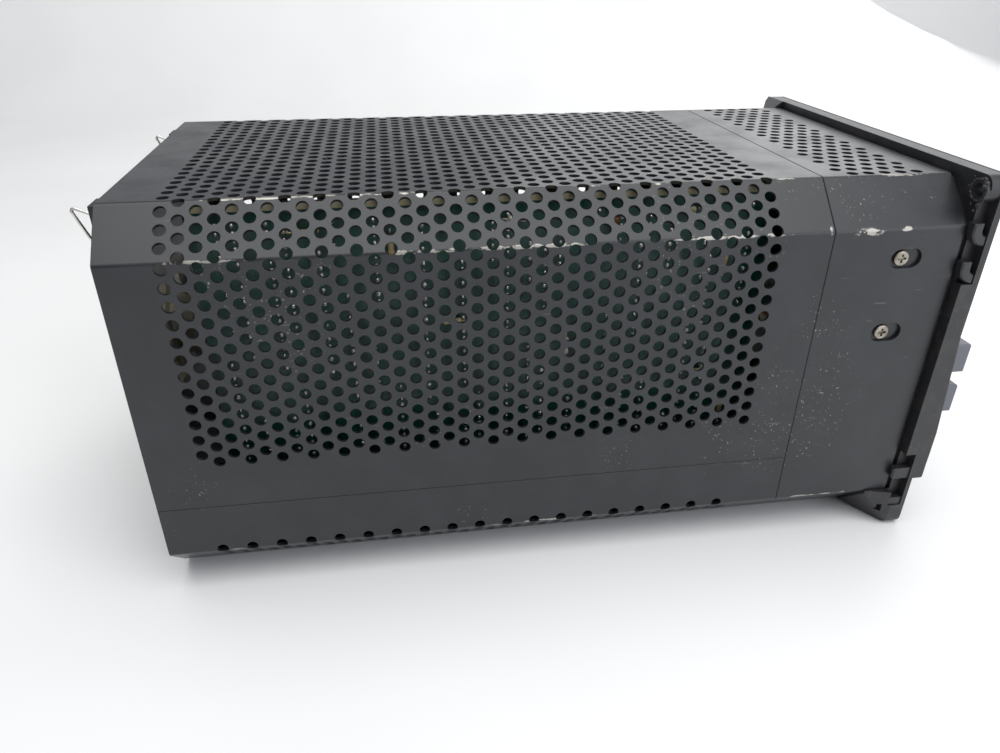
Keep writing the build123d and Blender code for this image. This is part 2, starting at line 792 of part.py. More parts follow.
def make_posts():
    bases = []
    tubes = []
    nuts = []
    for name, x in post_x.items():
        base = rod_y(x, panel_front_y - post_base_proud, panel_front_y, post_z, post_base_radius)
        base += rod_y(x, panel_front_y, panel_back_y + collar_rear, post_z, post_tube_radius + collar_wall)
        bases.append(base - rod_y(x, panel_front_y - post_base_proud - past, panel_back_y + collar_rear + past,
                                  post_z, post_tube_radius))
        tube = rod_y(x, post_tip_y, panel_back_y + post_rear, post_z, post_tube_radius)
        tubes.append(tube - rod_y(x, post_tip_y - past, post_tip_y + socket_depth, post_z, socket_radius))
        nut = extrude(RegularPolygon(post_nut_radius, 6), amount=post_nut_height)
        nut_end = panel_back_y + collar_rear + post_nut_height
        nut = Pos(x, nut_end, post_z) * Rot(90, 0, 0) * nut
        nuts.append(nut - rod_y(x, panel_back_y, nut_end + past, post_z, post_tube_radius))
        save(f"{name}_cap", make_post_cap(x))
    save("post_bases", *bases)
    save("post_tubes", *tubes)
    return nuts




board_thickness = 1.6
control_board_y = panel_back_y + 30.0
control_board_low = base_z + 42.0
control_board_high = top_z - 68.0
control_board_ends = (-46.0, 70.0)
chip_count = 4
chip_first = -34.0
chip_pitch = 24.0
chip_half = 5.0
chip_thickness = 3.0
chip_drops = (14.0, 7.0)
spacer_radius = 2.5
spacer_inset = 4.0


def make_control_board():
    y = control_board_y
    left, right = control_board_ends
    back = y + board_thickness
    save("control_board", block(left, right, y, back, control_board_low, control_board_high))
    chips = []
    for index in range(chip_count):
        x = chip_first + chip_pitch * index
        chips.append(block(x - chip_half, x + chip_half, back, back + chip_thickness,
                           control_board_high - chip_drops[0], control_board_high - chip_drops[1]))
    spacers = []
    for x in (left + spacer_inset, right - spacer_inset):
        for z in (control_board_low + spacer_inset, control_board_high - spacer_inset):
            spacers.append(rod_y(x, panel_back_y, y, z, spacer_radius))
    return chips, spacers


core_width = 76.0
core_stack = 55.0
core_height = 64.0
core_leg = 13.0
core_y = rear_y - 101.0
winding_over = 13.0
capacitor_radius = 17.5
capacitor_height = 62.0
capacitor_x = 38.0
capacitor_y = rear_y - 41.0
bridge_y = core_y - core_stack / 2 - winding_over - 22.0
board_x = 13.8             # from the inside of the case's side to the regulator board
board_low = low_fold_z + 2.0
board_high = top_z - 2.4
board_rear = rear_y - 24.0
board_front = seam_y + 16.0


def make_chassis():
    plate = block(-chassis_half, chassis_half, chassis_front, chassis_rear, chassis_low, chassis_z)
    plate += block(-chassis_half, chassis_half, chassis_rear, rear_inner_y, chassis_low, chassis_z + flange_rise)
    save("chassis_plate", plate)
    return [rod_z(x, y, base_z + sheet, chassis_low, post_radius) for x, y in chassis_post_places()]


core_fit = 0.3             # from the core's legs to the bobbin
core_slack = 0.2
winding_margin = 1.5       # winding inside the window's height
winding_round = 6.0
flange_thickness = 1.4
flange_margin = 1.0
clamp_strap = 1.6
clamp_band = 26.0
clamp_foot = 14.0
clamp_screw_radius = 3.4
clamp_screw_height = 2.4
clamp_screw_reach = 9.0    # screws out from the core, and each side of the band's middle
clamp_screw_spread = 8.0


def make_transformer():
    z0 = chassis_z
    z1 = chassis_z + core_height
    y0 = core_y - core_stack / 2
    y1 = core_y + core_stack / 2
    w = core_width / 2
    core = block(-w, w, y0, y1, z0, z1)
    leg_half = core_leg - core_fit
    window_low = z0 + core_leg
    window_high = z1 - core_leg
    opening = block(leg_half, w - core_leg + core_fit, y0 - past, y1 + past, window_low, window_high)
    for shape in both_sides(opening):
        core -= shape
    save("transformer_core", core)
    reach = w - core_leg - core_slack
    winding = block(-reach, reach, y0 - winding_over, y1 + winding_over, window_low + winding_margin,
                    window_high - winding_margin)
    winding = fillet(winding.edges().filter_by(Axis.Z), winding_round)
    tunnel = block(-core_leg, core_leg, y0 - core_fit, y1 + core_fit, window_low - past, window_high + past)
    save("transformer_winding", winding - tunnel)
    flanges = []
    for z in (window_low, window_high - flange_thickness):
        plate = block(-reach, reach, y0 - winding_over - flange_margin, y1 + winding_over + flange_margin,
                      z, z + flange_thickness)
        flanges.append(plate - tunnel)
    save("bobbin_flanges", *flanges)
    make_transformer_clamp(w, z0, z1)


def make_transformer_clamp(w, z0, z1):
    half = clamp_band / 2
    foot = w + clamp_foot
    clamp = block(-w - clamp_strap, w + clamp_strap, core_y - half, core_y + half, z0, z1 + clamp_strap)
    clamp += block(-foot, foot, core_y - half, core_y + half, z0, z0 + clamp_strap)
    save("transformer_clamp", clamp - block(-w, w, core_y - half - past, core_y + half + past, z0 - past, z1))
    screws = []
    for y in (core_y - clamp_screw_spread, core_y + clamp_screw_spread):
        screws += both_sides(rod_z(w + clamp_screw_reach, y, z0 + clamp_strap,
                                   z0 + clamp_strap + clamp_screw_height, clamp_screw_radius))
    save("clamp_screws", *screws)


can_round = 1.5
clamp_ring_height = 14.0
clamp_ring_wall = 1.2
bridge_half = 14.0
bridge_height = 10.0
bridge_lug_place = 9.0
bridge_lug_half = (0.4, 3.0)
bridge_lug_height = 8.0


def make_capacitors():
    top = chassis_z + capacitor_height
    ring_top = chassis_z + clamp_ring_height
    can = rod_z(capacitor_x, capacitor_y, chassis_z, top, capacitor_radius)
    ring = rod_z(capacitor_x, capacitor_y, chassis_z, ring_top, capacitor_radius + clamp_ring_wall)
    ring -= rod_z(capacitor_x, capacitor_y, chassis_z - past, ring_top + past, capacitor_radius)
    save("reservoir_capacitors", *both_sides(fillet(can.edges().group_by(Axis.Z)[-1], can_round)))
    save("capacitor_clamps", *both_sides(ring))
    bridge_top = chassis_z + bridge_height
    bridge = block(-bridge_half, bridge_half, bridge_y - bridge_half, bridge_y + bridge_half,
                   chassis_z, bridge_top)
    thin, wide = bridge_lug_half
    for x in (-bridge_lug_place, bridge_lug_place):
        for y in (bridge_y - bridge_lug_place, bridge_y + bridge_lug_place):
            bridge += block(x - thin, x + thin, y - wide, y + wide, bridge_top, bridge_top + bridge_lug_height)
    save("bridge_rectifier", bridge)


board_bracket_inset = 14.0
board_bracket_half = 6.0
board_bracket_wall = 1.6
board_bracket_drop = 4.0   # step of the bracket below the board, and its top below the board's top
board_bracket_top = 3.0
bracket_foot_x = -chassis_half + 0.6
group_count = 4            # each group is a cement resistor and a radial capacitor
group_first = 34.0
group_pitch = 26.0
resistor_half_width = 4.5
resistor_depth = 9.0
resistor_ends = (-4.0, 34.0)
resistor_low = 22.0
resistor_step = 14.0
can_offset = 13.0
can_length = 16.0
can_radius = 6.3
can_height = 70.0
can_step = 9.0
sink_plate = 3.0
sink_ends = (60.0, 28.0)   # from the board's rear edge
sink_drops = (34.0, 4.0)   # below the board's top edge
sink_fin_count = 5
sink_fin_pitch = 7.0
sink_fin_wall = 1.4
sink_fin_reach = 15.0


def make_board_bracket(y, x1):
    wall = board_bracket_wall
    low_y = y - board_bracket_half
    high_y = y + board_bracket_half
    step_z = board_low - board_bracket_drop
    upright = block(x1, x1 + wall, low_y, high_y, step_z, board_high - board_bracket_top)
    step = block(x1, bracket_foot_x + wall, low_y, high_y, step_z, step_z + wall)
    leg = block(bracket_foot_x, bracket_foot_x + wall, low_y, high_y, chassis_z, step_z + wall)
    return upright + step + leg


def make_regulator_board():
    x0 = board_x - inner_x
    x1 = x0 + board_thickness
    save("regulator_board", block(x0, x1, board_front, board_rear, board_low, board_high))
    places = (board_front + board_bracket_inset, board_rear - board_bracket_inset)
    save("board_brackets", *[make_board_bracket(y, x1) for y in places])
    components = []
    for index in range(group_count):
        y = board_front + group_first + group_pitch * index
        z = board_low + resistor_low + resistor_step * (index % 3)
        components.append(block(x1, x1 + resistor_depth, y - resistor_half_width, y + resistor_half_width,
                                z + resistor_ends[0], z + resistor_ends[1]))
        can_z = board_low + can_height - can_step * (index % 2)
        components.append(rod_x(x1, x1 + can_length, y + can_offset, can_z, can_radius))
    rear_end = board_rear - sink_ends[0]
    front_end = board_rear - sink_ends[1]
    sink = block(x1, x1 + sink_plate, rear_end, front_end,
                 board_high - sink_drops[0], board_high - sink_drops[1])
    for index in range(sink_fin_count):
        z = board_high - sink_drops[0] + 1 + sink_fin_pitch * index
        sink += block(x1 + sink_plate, x1 + sink_fin_reach, rear_end, front_end, z, z + sink_fin_wall)
    save("board_heat_sink", sink)
    return components


sink_half = 38.0
sink_low = base_z + 44.0
sink_high = top_z - 24.0
fin_count = 13
fin_thickness = 1.6
sink_base = 3.0
fin_depth = 6.5
inlet_x = -40.0
inlet_z = base_z + 26.0
inlet_flange_half = 24.0
inlet_flange_height = 22.0
inlet_cavity_width = 24.0
inlet_cavity_height = 16.0
inlet_cavity_depth = 17.0
inlet_pin_length = 12.5
fuse_x = 10.0
fuse_z = base_z + 24.0
fuse_body_radius = 6.3
earth_x = 40.0
earth_z = base_z + 20.0
earth_radius = 2.0
terminal_x = 53.5
terminal_width = 9.0
terminal_low = high_fold_z - 9.0
terminal_high = high_fold_z + 12.0
terminal_depth = 5.0
wire_radius = 0.5
wire_high_z = high_fold_z + 8.3
wire_low_z = high_fold_z - 3.0
wire_apex_z = high_fold_z + 11.2


def make_rear_panel():
    panel = along_y(octagon(sheet + fit_gap, 0.8), rear_inner_y, rear_face_y)
    y0 = rear_inner_y - past
    y1 = rear_face_y + past
    panel -= block(inlet_x - inlet_body_half[0] - inlet_fit, inlet_x + inlet_body_half[0] + inlet_fit, y0, y1,
                   inlet_z - inlet_body_half[1] - inlet_fit, inlet_z + inlet_body_half[1] + inlet_fit)
    panel -= rod_y(fuse_x, y0, y1, fuse_z, fuse_body_radius + fit_gap)
    panel -= rod_y(earth_x, y0, y1, earth_z, earth_radius + run_gap)
    for x, z in rear_screw_places():
        panel -= rod_y(x, y0, y1, z, screw_radius + 0.1)
    save("rear_panel", panel)


def rear_screw_places():
    rail_x = inner_x - rail_thickness / 2
    low_z = chassis_z + flange_rise - 3.5
    return [(-rail_x, seam_z), (rail_x, seam_z), (8 - chassis_half, low_z), (chassis_half - 8, low_z)]


rear_head_height = 1.8
rear_head_round = 0.8
driver_half = 0.4          # driver slot: half its width, its half length and the metal under it
driver_reach = 2.2
driver_floor = 1.0


def make_rear_screws():
    screws = []
    for x, z in rear_screw_places():
        head = rod_y(x, rear_face_y, rear_face_y + rear_head_height, z, screw_head_radius)
        head = fillet(head.edges().group_by(Axis.Y)[-1], rear_head_round)
        head -= block(x - driver_reach, x + driver_reach, rear_face_y + driver_floor,
                      rear_face_y + rear_head_height + past, z - driver_half, z + driver_half)
        screws.append(head + rod_y(x, rear_inner_y + 0.1, rear_face_y, z, screw_radius))
    return screws


transistor_x = 20.0
washer_half = (13.5, 20.0)
washer_thickness = 0.4
flange_half = (12.5, 19.0)
flange_front = 2.0         # flange and can of a transistor, ahead of the rear panel's inner face
flange_cut = 9.0
transistor_radius = 10.8
transistor_front = 8.5


def make_heat_sink():
    y0 = rear_face_y
    sink = block(-sink_half, sink_half, y0, y0 + sink_base, sink_low, sink_high)
    for index in range(fin_count):
        x = -sink_half + fin_thickness / 2 + (2 * sink_half - fin_thickness) / (fin_count - 1) * index
        sink += block(x - fin_thickness / 2, x + fin_thickness / 2, y0, y0 + sink_base + fin_depth,
                      sink_low, sink_high)
    save("rear_heat_sink", sink)
    z = (sink_low + sink_high) / 2
    washer_y = rear_inner_y - washer_thickness
    flange_y = rear_inner_y - flange_front
    washer = block(transistor_x - washer_half[0], transistor_x + washer_half[0], washer_y, rear_inner_y,
                   z - washer_half[1], z + washer_half[1])
    flange = block(transistor_x - flange_half[0], transistor_x + flange_half[0], flange_y, washer_y,
                   z - flange_half[1], z + flange_half[1])
    flange = chamfer(flange.edges().filter_by(Axis.Y), flange_cut)
    can = rod_y(transistor_x, rear_inner_y - transistor_front, flange_y, z, transistor_radius)
    save("transistor_washers", *both_sides(washer))
    save("power_transistors", *both_sides(flange + can))


inlet_flange = 3.0
inlet_round = 3.0
inlet_body_half = (13.8, 10.0)
inlet_fit = 0.4            # from the inlet's body to the rear panel's hole
inlet_body_depth = 18.0
inlet_corner = 4.5
inlet_pin_places = ((-7.0, -2.0), (7.0, -2.0), (0.0, 2.0))
inlet_pin_half = (1.0, 2.0)
inlet_screw_x = 19.0
inlet_screw_radius = 2.6
inlet_screw_height = 1.6
inlet_driver_reach = 2.0
inlet_driver_floor = 0.8


def make_inlet():
    y0 = rear_face_y
    mouth = y0 + inlet_flange
    flange = block(inlet_x - inlet_flange_half, inlet_x + inlet_flange_half, y0, mouth,
                   inlet_z - inlet_flange_height / 2, inlet_z + inlet_flange_height / 2)
    flange = fillet(flange.edges().filter_by(Axis.Y), inlet_round)
    wide, tall = inlet_body_half
    body = block(inlet_x - wide, inlet_x + wide, y0 - inlet_body_depth, mouth, inlet_z - tall, inlet_z + tall)
    floor = mouth - inlet_cavity_depth
    cavity = block(inlet_x - inlet_cavity_width / 2, inlet_x + inlet_cavity_width / 2, floor, mouth + past,
                   inlet_z - inlet_cavity_height / 2, inlet_z + inlet_cavity_height / 2)
    cavity = chamfer(cavity.edges().filter_by(Axis.Y).group_by(Axis.Z)[-1], inlet_corner)
    save("mains_inlet", flange + body - cavity)
    pins = []
    thin, deep = inlet_pin_half
    for dx, dz in inlet_pin_places:
        pins.append(block(inlet_x + dx - thin, inlet_x + dx + thin, floor, floor + inlet_pin_length,
                          inlet_z + dz - deep, inlet_z + dz + deep))
    save("inlet_pins", *pins)
    screws = []
    for x in (inlet_x - inlet_screw_x, inlet_x + inlet_screw_x):
        head = rod_y(x, mouth, mouth + inlet_screw_height, inlet_z, inlet_screw_radius)
        screws.append(head - block(x - inlet_driver_reach, x + inlet_driver_reach,
                                   mouth + inlet_driver_floor, mouth + inlet_screw_height + past,
                                   inlet_z - driver_half, inlet_z + driver_half))
    return screws


fuse_holder_depth = 30.0
fuse_holder_floor = 3.0
fuse_flange = 2.0
fuse_flange_wall = 2.2
fuse_bore_radius = 3.4
fuse_cap_height = 6.5
fuse_cap_wall = 0.4
fuse_cap_bevel = 0.8
fuse_slot_half = (4.5, 0.6)
fuse_slot_depth = 1.3
fuse_plug_depth = 4.0      # cap's plug inside the holder
fuse_radius = 2.5
fuse_ends = (25.0, 5.0)    # below the rear panel's face


def make_fuse():
    y0 = rear_face_y
    flange_top = y0 + fuse_flange
    body = rod_y(fuse_x, y0 - fuse_holder_depth, y0, fuse_z, fuse_body_radius)
    body += rod_y(fuse_x, y0, flange_top, fuse_z, fuse_body_radius + fuse_flange_wall)
    body -= rod_y(fuse_x, y0 - fuse_holder_depth + fuse_holder_floor, flange_top + past, fuse_z,
                  fuse_bore_radius)
    save("fuse_holder", body)
    cap_back = flange_top + fit_gap
    cap_top = cap_back + fuse_cap_height
    cap = rod_y(fuse_x, cap_back, cap_top, fuse_z, fuse_body_radius + fuse_cap_wall)
    cap = chamfer(cap.edges().group_by(Axis.Y)[-1], fuse_cap_bevel)
    long, thin = fuse_slot_half
    cap -= block(fuse_x - long, fuse_x + long, cap_top - fuse_slot_depth, cap_top + past, fuse_z - thin,
                 fuse_z + thin)
    cap += rod_y(fuse_x, y0 - fuse_plug_depth, cap_back + sunk, fuse_z, fuse_bore_radius - run_gap)
    save("fuse_cap", cap)
    save("fuse", rod_y(fuse_x, y0 - fuse_ends[0], y0 - fuse_ends[1], fuse_z, fuse_radius))


wire_bend = 0.9
wire_grip = 3.2            # wire inside the terminal block
wire_straight = (1.0, 1.6)     # straight ends outside the block, upper and lower
clamp_hole_depth = 3.4
clamp_hole_wall = 0.3
grub_place = 2.6           # clamp screw from the rear face, its length and its radius
grub_length = 1.2
grub_radius = 1.9


def link_wire(x, face, apex_y):
    """Bare wire bowed out between the two clamps of one terminal block."""
    path = FilletPolyline((x, face - wire_grip, wire_high_z), (x, face + wire_straight[0], wire_high_z),
                          (x, apex_y, wire_apex_z), (x, face + wire_straight[1], wire_low_z),
                          (x, face - wire_grip, wire_low_z), radius=wire_bend)
    start = Plane(origin=(x, face - wire_grip, wire_high_z), z_dir=(0, 1, 0))
    return sweep(start * Circle(wire_radius), path=path)


def make_terminals():
    face = rear_face_y + terminal_depth
    inner = terminal_x - terminal_width / 2
    body = block(inner, inner + terminal_width, rear_face_y, face, terminal_low, terminal_high)
    screws = []
    for z in (wire_high_z, wire_low_z):
        body -= rod_y(terminal_x, face - clamp_hole_depth, face + past, z, wire_radius + clamp_hole_wall)
        screws += both_sides(rod_x(inner - grub_length, inner, rear_face_y + grub_place, z, grub_radius))
    save("sense_terminal_blocks", *both_sides(body))
    reach_y = rear_y + rear_reach
    first = link_wire(terminal_x, face, reach_y)
    wire = link_wire(terminal_x, face, 2 * reach_y - first.bounding_box().max.Y)
    save("sense_wire_links", *both_sides(wire))
    return screws


earth_ends = (8.0, 7.0)    # inside and outside the rear panel
earth_nut_radius = 4.0
earth_nut_height = 3.2


def make_earth_stud():
    y0 = rear_inner_y
    save("earth_stud", rod_y(earth_x, y0 - earth_ends[0], rear_face_y + earth_ends[1], earth_z, earth_radius))
    nuts = []
    for y in (y0, rear_face_y + earth_nut_height):
        nut = extrude(RegularPolygon(earth_nut_radius, 6), amount=earth_nut_height)
        nut = Pos(earth_x, y, earth_z) * Rot(90, 0, 0) * nut
        nuts.append(nut - rod_y(earth_x, y - earth_nut_height - past, y + past, earth_z, earth_radius))
    return nuts


def make_pads():
    pads = []
    for side in (-1, 1):
        pad = rod_z(side * pad_x, pad_y, 0, base_z, pad_radius)
        pads.append(chamfer(pad.edges().group_by(Axis.Z)[0], pad_bevel))
    save("rear_pads", *pads)


make_shells()
make_front_sleeve()
make_joiners()
make_front_brackets()
make_side_screws()
make_bezel()
make_front_panel()
make_meters()
make_buttons()
make_lamps()
make_transformer()
make_capacitors()
make_rear_panel()
make_heat_sink()
make_fuse()
make_pads()
save("hex_nuts", *make_knobs(), *make_posts(), *make_earth_stud())
save("rear_screws", *make_rear_screws(), *make_inlet(), *make_terminals())
control_chips, control_posts = make_control_board()
save("spacer_posts", *control_posts, *make_chassis())
save("board_components", *control_chips, *make_regulator_board())
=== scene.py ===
import math
import random

import bmesh
import bpy
from mathutils import Euler, Matrix, Vector


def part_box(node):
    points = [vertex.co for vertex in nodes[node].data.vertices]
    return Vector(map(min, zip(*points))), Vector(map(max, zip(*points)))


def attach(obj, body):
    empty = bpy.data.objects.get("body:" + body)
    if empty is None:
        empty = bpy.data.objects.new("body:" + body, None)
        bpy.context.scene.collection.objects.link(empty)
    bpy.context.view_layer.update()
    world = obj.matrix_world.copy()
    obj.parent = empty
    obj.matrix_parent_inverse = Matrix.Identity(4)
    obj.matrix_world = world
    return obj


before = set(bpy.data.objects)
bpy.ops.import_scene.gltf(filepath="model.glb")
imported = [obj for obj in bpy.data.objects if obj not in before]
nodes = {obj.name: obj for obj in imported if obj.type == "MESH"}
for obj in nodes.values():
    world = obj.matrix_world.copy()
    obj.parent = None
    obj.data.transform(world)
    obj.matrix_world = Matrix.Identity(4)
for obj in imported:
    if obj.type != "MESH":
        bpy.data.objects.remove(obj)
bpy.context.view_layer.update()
mm = 0.001
print("frame loaded:", len(nodes), "nodes")


def linear(hexColour):
    values = [int(hexColour[i:i + 2], 16) / 255 for i in (1, 3, 5)]
    values = [v / 12.92 if v <= 0.04045 else ((v + 0.055) / 1.055) ** 2.4 for v in values]
    return (*values, 1.0)


def connect(tree, node, inputs):
    # a socket is linked, anything else is set on the input itself
    for key, value in inputs.items():
        if isinstance(value, bpy.types.NodeSocket):
            tree.links.new(value, node.inputs[key])
        else:
            node.inputs[key].default_value = value


def addNode(tree, kind, inputs=None, output=0, **settings):
    node = tree.nodes.new(kind)
    for key, value in settings.items():
        setattr(node, key, value)
    connect(tree, node, inputs or {})
    return node.outputs[output]


def newMaterial(name):
    material = bpy.data.materials.new(name)
    material.use_nodes = True
    tree = material.node_tree
    place = addNode(tree, "ShaderNodeNewGeometry", output="Position")
    return material, tree, tree.nodes["Principled BSDF"], place


def perMetre(sizeInMm):
    return 1000.0 / sizeInMm


def waveScale(bandInMm):
    # the wave texture turns through 20 radians in a metre at scale 1
    return 2 * math.pi * perMetre(bandInMm) / 20


def patches(tree, place, sizeInMm, low, high, detail=3.0, stretch=(1, 1, 1)):
    # irregular areas about as large as sizeInMm, 0 outside and 1 inside
    where = addNode(tree, "ShaderNodeMapping", {"Vector": place, "Scale": stretch})
    cloud = addNode(tree, "ShaderNodeTexNoise",
                    {"Vector": where, "Scale": perMetre(sizeInMm), "Detail": detail, "Roughness": 0.6})
    return addNode(tree, "ShaderNodeMapRange", {"Value": cloud, "From Min": low, "From Max": high})


def dress(material, *names):
    for name in names:
        piece = nodes[name]
        piece.data.materials.clear()
        piece.data.materials.append(material)


# case section in millimetres, for the wear along its folds
casing = {"halfWidth": 78.0, "top": 140.6, "base": 2.0, "cut": 14.4}
sideX, topZ = -casing["halfWidth"], casing["top"]
sideFoldZ = topZ - casing["cut"]
topFoldX = sideX + casing["cut"]


def foldDistance(tree, place):
    # metres from the nearest fold of the case sheet
    middle = (casing["top"] + casing["base"]) / 2 * mm
    half = (casing["top"] - casing["base"]) / 2 * mm
    wide, cut = casing["halfWidth"] * mm, casing["cut"] * mm
    centred = addNode(tree, "ShaderNodeVectorMath", {0: place, 1: (0, 0, middle)}, operation="SUBTRACT")
    folded = addNode(tree, "ShaderNodeVectorMath", {0: centred}, operation="ABSOLUTE")
    flat = addNode(tree, "ShaderNodeVectorMath", {0: folded, 1: (1, 0, 1)}, operation="MULTIPLY")
    sideFold = addNode(tree, "ShaderNodeVectorMath", {0: flat, 1: (wide, 0, half - cut)}, "Value",
                       operation="DISTANCE")
    edgeFold = addNode(tree, "ShaderNodeVectorMath", {0: flat, 1: (wide - cut, 0, half)}, "Value",
                       operation="DISTANCE")
    return addNode(tree, "ShaderNodeMath", {0: sideFold, 1: edgeFold}, operation="MINIMUM")


enamel = {
    "colour": "#232427",
    "worn": "#2c2d30",
    "steel": "#a9a59c",
    "dust": "#77756f",
    "peelMm": 0.8,           # orange peel of the sprayed coat
    "edgeMm": 0.25,          # rounding of pressed and folded edges
    "foldWearMm": (1.1, 0.3),     # from no wear beside a fold to full wear on it
    "scuff": {"sizeInMm": 16.0, "low": 0.42, "high": 0.75, "detail": 5.0},
    "scratch": {"sizeInMm": 1.0, "low": 0.70, "high": 0.76, "detail": 2.0, "stretch": (0.9, 0.07, 0.9)},
    "scratchField": {"sizeInMm": 55.0, "low": 0.50, "high": 0.62, "detail": 1.0},
    "speck": {"sizeInMm": 0.8, "low": 0.77, "high": 0.79, "detail": 0.0},
    "speckField": {"sizeInMm": 50.0, "low": 0.58, "high": 0.66, "detail": 2.0},
    "chip": {"sizeInMm": 1.6, "low": 0.36, "high": 0.64, "detail": 4.0, "stretch": (1, 0.5, 1)},
    "foldWear": {"sizeInMm": 34.0, "low": 0.50, "high": 0.60, "detail": 2.0},
    # knocks on the folds: where their middle is and how far they reach, in millimetres
    "knocks": [((sideX, -95.5, sideFoldZ - 0.6), (1.9, 8.5, 1.9)),
               ((sideX + 0.4, -109.0, sideFoldZ), (1.2, 3.2, 1.2)),
               ((sideX, 20.0, sideFoldZ), (1.0, 36.0, 1.1)),
               ((sideX, -45.0, sideFoldZ), (0.9, 22.0, 1.0)),
               ((topFoldX, 96.0, topZ), (1.0, 34.0, 1.0)),
               ((sideX, 118.0, sideFoldZ), (0.8, 16.0, 0.8)),
               ((topFoldX, -70.0, topZ), (0.8, 9.0, 0.8)),
               ((sideX + 1.1, -82.5, sideFoldZ - 0.6), (1.6, 1.2, 3.0))],
}


def makeStoveEnamel(name, setup, knocked=True):
    # black enamel sprayed on steel and stoved: satin, faint orange peel, bare metal where folds were knocked
    material, tree, shader, place = newMaterial(name)
    worn = patches(tree, place, **setup["scuff"])
    colour = addNode(tree, "ShaderNodeMix",
                     {0: worn, 6: linear(setup["colour"]), 7: linear(setup["worn"])}, 2, data_type="RGBA")
    # dry scratches that run along the case, wider than real hairlines
    scratch = patches(tree, place, **setup["scratch"])
    field = patches(tree, place, **setup["scratchField"])
    scratch = addNode(tree, "ShaderNodeMath", {0: scratch, 1: field}, operation="MULTIPLY")
    speck = patches(tree, place, **setup["speck"])
    crowd = patches(tree, place, **setup["speckField"])
    speck = addNode(tree, "ShaderNodeMath", {0: speck, 1: crowd}, operation="MULTIPLY")
    mark = addNode(tree, "ShaderNodeMath", {0: scratch, 1: 0.45, 2: speck}, operation="MULTIPLY_ADD",
                   use_clamp=True)
    colour = addNode(tree, "ShaderNodeMix",
                     {0: mark, 6: colour, 7: linear(setup["dust"])}, 2, data_type="RGBA")
    peel = addNode(tree, "ShaderNodeTexNoise", {"Vector": place, "Scale": perMetre(setup["peelMm"]),
                                                "Detail": 2.0})
    rough = addNode(tree, "ShaderNodeMapRange", {"Value": worn, "To Min": 0.3, "To Max": 0.42})
    # edges are rounded by a few tenths of a millimetre, which lights the rims of the holes
    softened = addNode(tree, "ShaderNodeBevel", {"Radius": setup["edgeMm"] * mm}, samples=3)
    height = peel
    if knocked:
        ragged = patches(tree, place, **setup["chip"])
        bare = None
        for middle, reach in setup["knocks"]:
            offset = addNode(tree, "ShaderNodeVectorMath", {0: place, 1: [v * mm for v in middle]},
                             operation="SUBTRACT")
            offset = addNode(tree, "ShaderNodeVectorMath", {0: offset, 1: [perMetre(v) for v in reach]},
                             operation="MULTIPLY")
            away = addNode(tree, "ShaderNodeVectorMath", {0: offset}, "Value", operation="LENGTH")
            spot = addNode(tree, "ShaderNodeMapRange", {"Value": away, "From Min": 1.0, "From Max": 0.0})
            bare = spot if bare is None else addNode(tree, "ShaderNodeMath", {0: bare, 1: spot},
                                                     operation="MAXIMUM")
        clear, full = setup["foldWearMm"]
        edge = addNode(tree, "ShaderNodeMapRange",
                       {"Value": foldDistance(tree, place), "From Min": clear * mm, "From Max": full * mm,
                        "To Max": 0.55})
        gone = patches(tree, place, **setup["foldWear"])
        edge = addNode(tree, "ShaderNodeMath", {0: edge, 1: gone}, operation="MULTIPLY")
        bare = addNode(tree, "ShaderNodeMath", {0: bare, 1: edge}, operation="MAXIMUM")
        bare = addNode(tree, "ShaderNodeMath", {0: bare, 1: ragged}, operation="MULTIPLY")
        bare = addNode(tree, "ShaderNodeMapRange", {"Value": bare, "From Min": 0.16, "From Max": 0.3})
        colour = addNode(tree, "ShaderNodeMix",
                         {0: bare, 6: colour, 7: linear(setup["steel"])}, 2, data_type="RGBA")
        metal = addNode(tree, "ShaderNodeMath", {0: bare, 1: 0.6}, operation="MULTIPLY")
        height = addNode(tree, "ShaderNodeMath", {0: bare, 1: -2.5, 2: peel}, operation="MULTIPLY_ADD")
        connect(tree, shader, {"Metallic": metal})
    normal = addNode(tree, "ShaderNodeBump", {"Height": height, "Strength": 0.3, "Distance": 0.05 * mm,
                                              "Normal": softened})
    connect(tree, shader, {"Base Color": colour, "Roughness": rough, "Normal": normal})
    return material


moulded = {
    "bezel": {"colour": "#232325", "dust": "#66635d", "rough": 0.42, "grainMm": 0.5, "dirt": 0.5},
    "keycap": {"colour": "#63656c", "dust": "#77787c", "rough": 0.42, "grainMm": 0.4, "dirt": 0.3},
    "black": {"colour": "#17181a", "dust": "#3c3b3a", "rough": 0.4, "grainMm": 0.45, "dirt": 0.3},
    "red": {"colour": "#a3171b", "dust": "#7c3b36", "rough": 0.3, "grainMm": 0.6, "dirt": 0.15},
    "green": {"colour": "#12713a", "dust": "#4d6a55", "rough": 0.3, "grainMm": 0.6, "dirt": 0.15},
    "lens": {"colour": "#8e1114", "dust": "#6e2420", "rough": 0.14, "grainMm": 0.8, "dirt": 0.1},
    "broken": {"colour": "#2b2b2c", "dust": "#a7a49d", "rough": 0.55, "grainMm": 0.7, "dirt": 0.9},
}


grime = {
    "cloud": {"sizeInMm": 6.0, "low": 0.5, "high": 0.85, "detail": 6.0},
    "speck": {"sizeInMm": 0.9, "low": 0.66, "high": 0.72, "detail": 1.0},
    "speckField": {"sizeInMm": 15.0, "low": 0.5, "high": 0.62, "detail": 2.0},
}


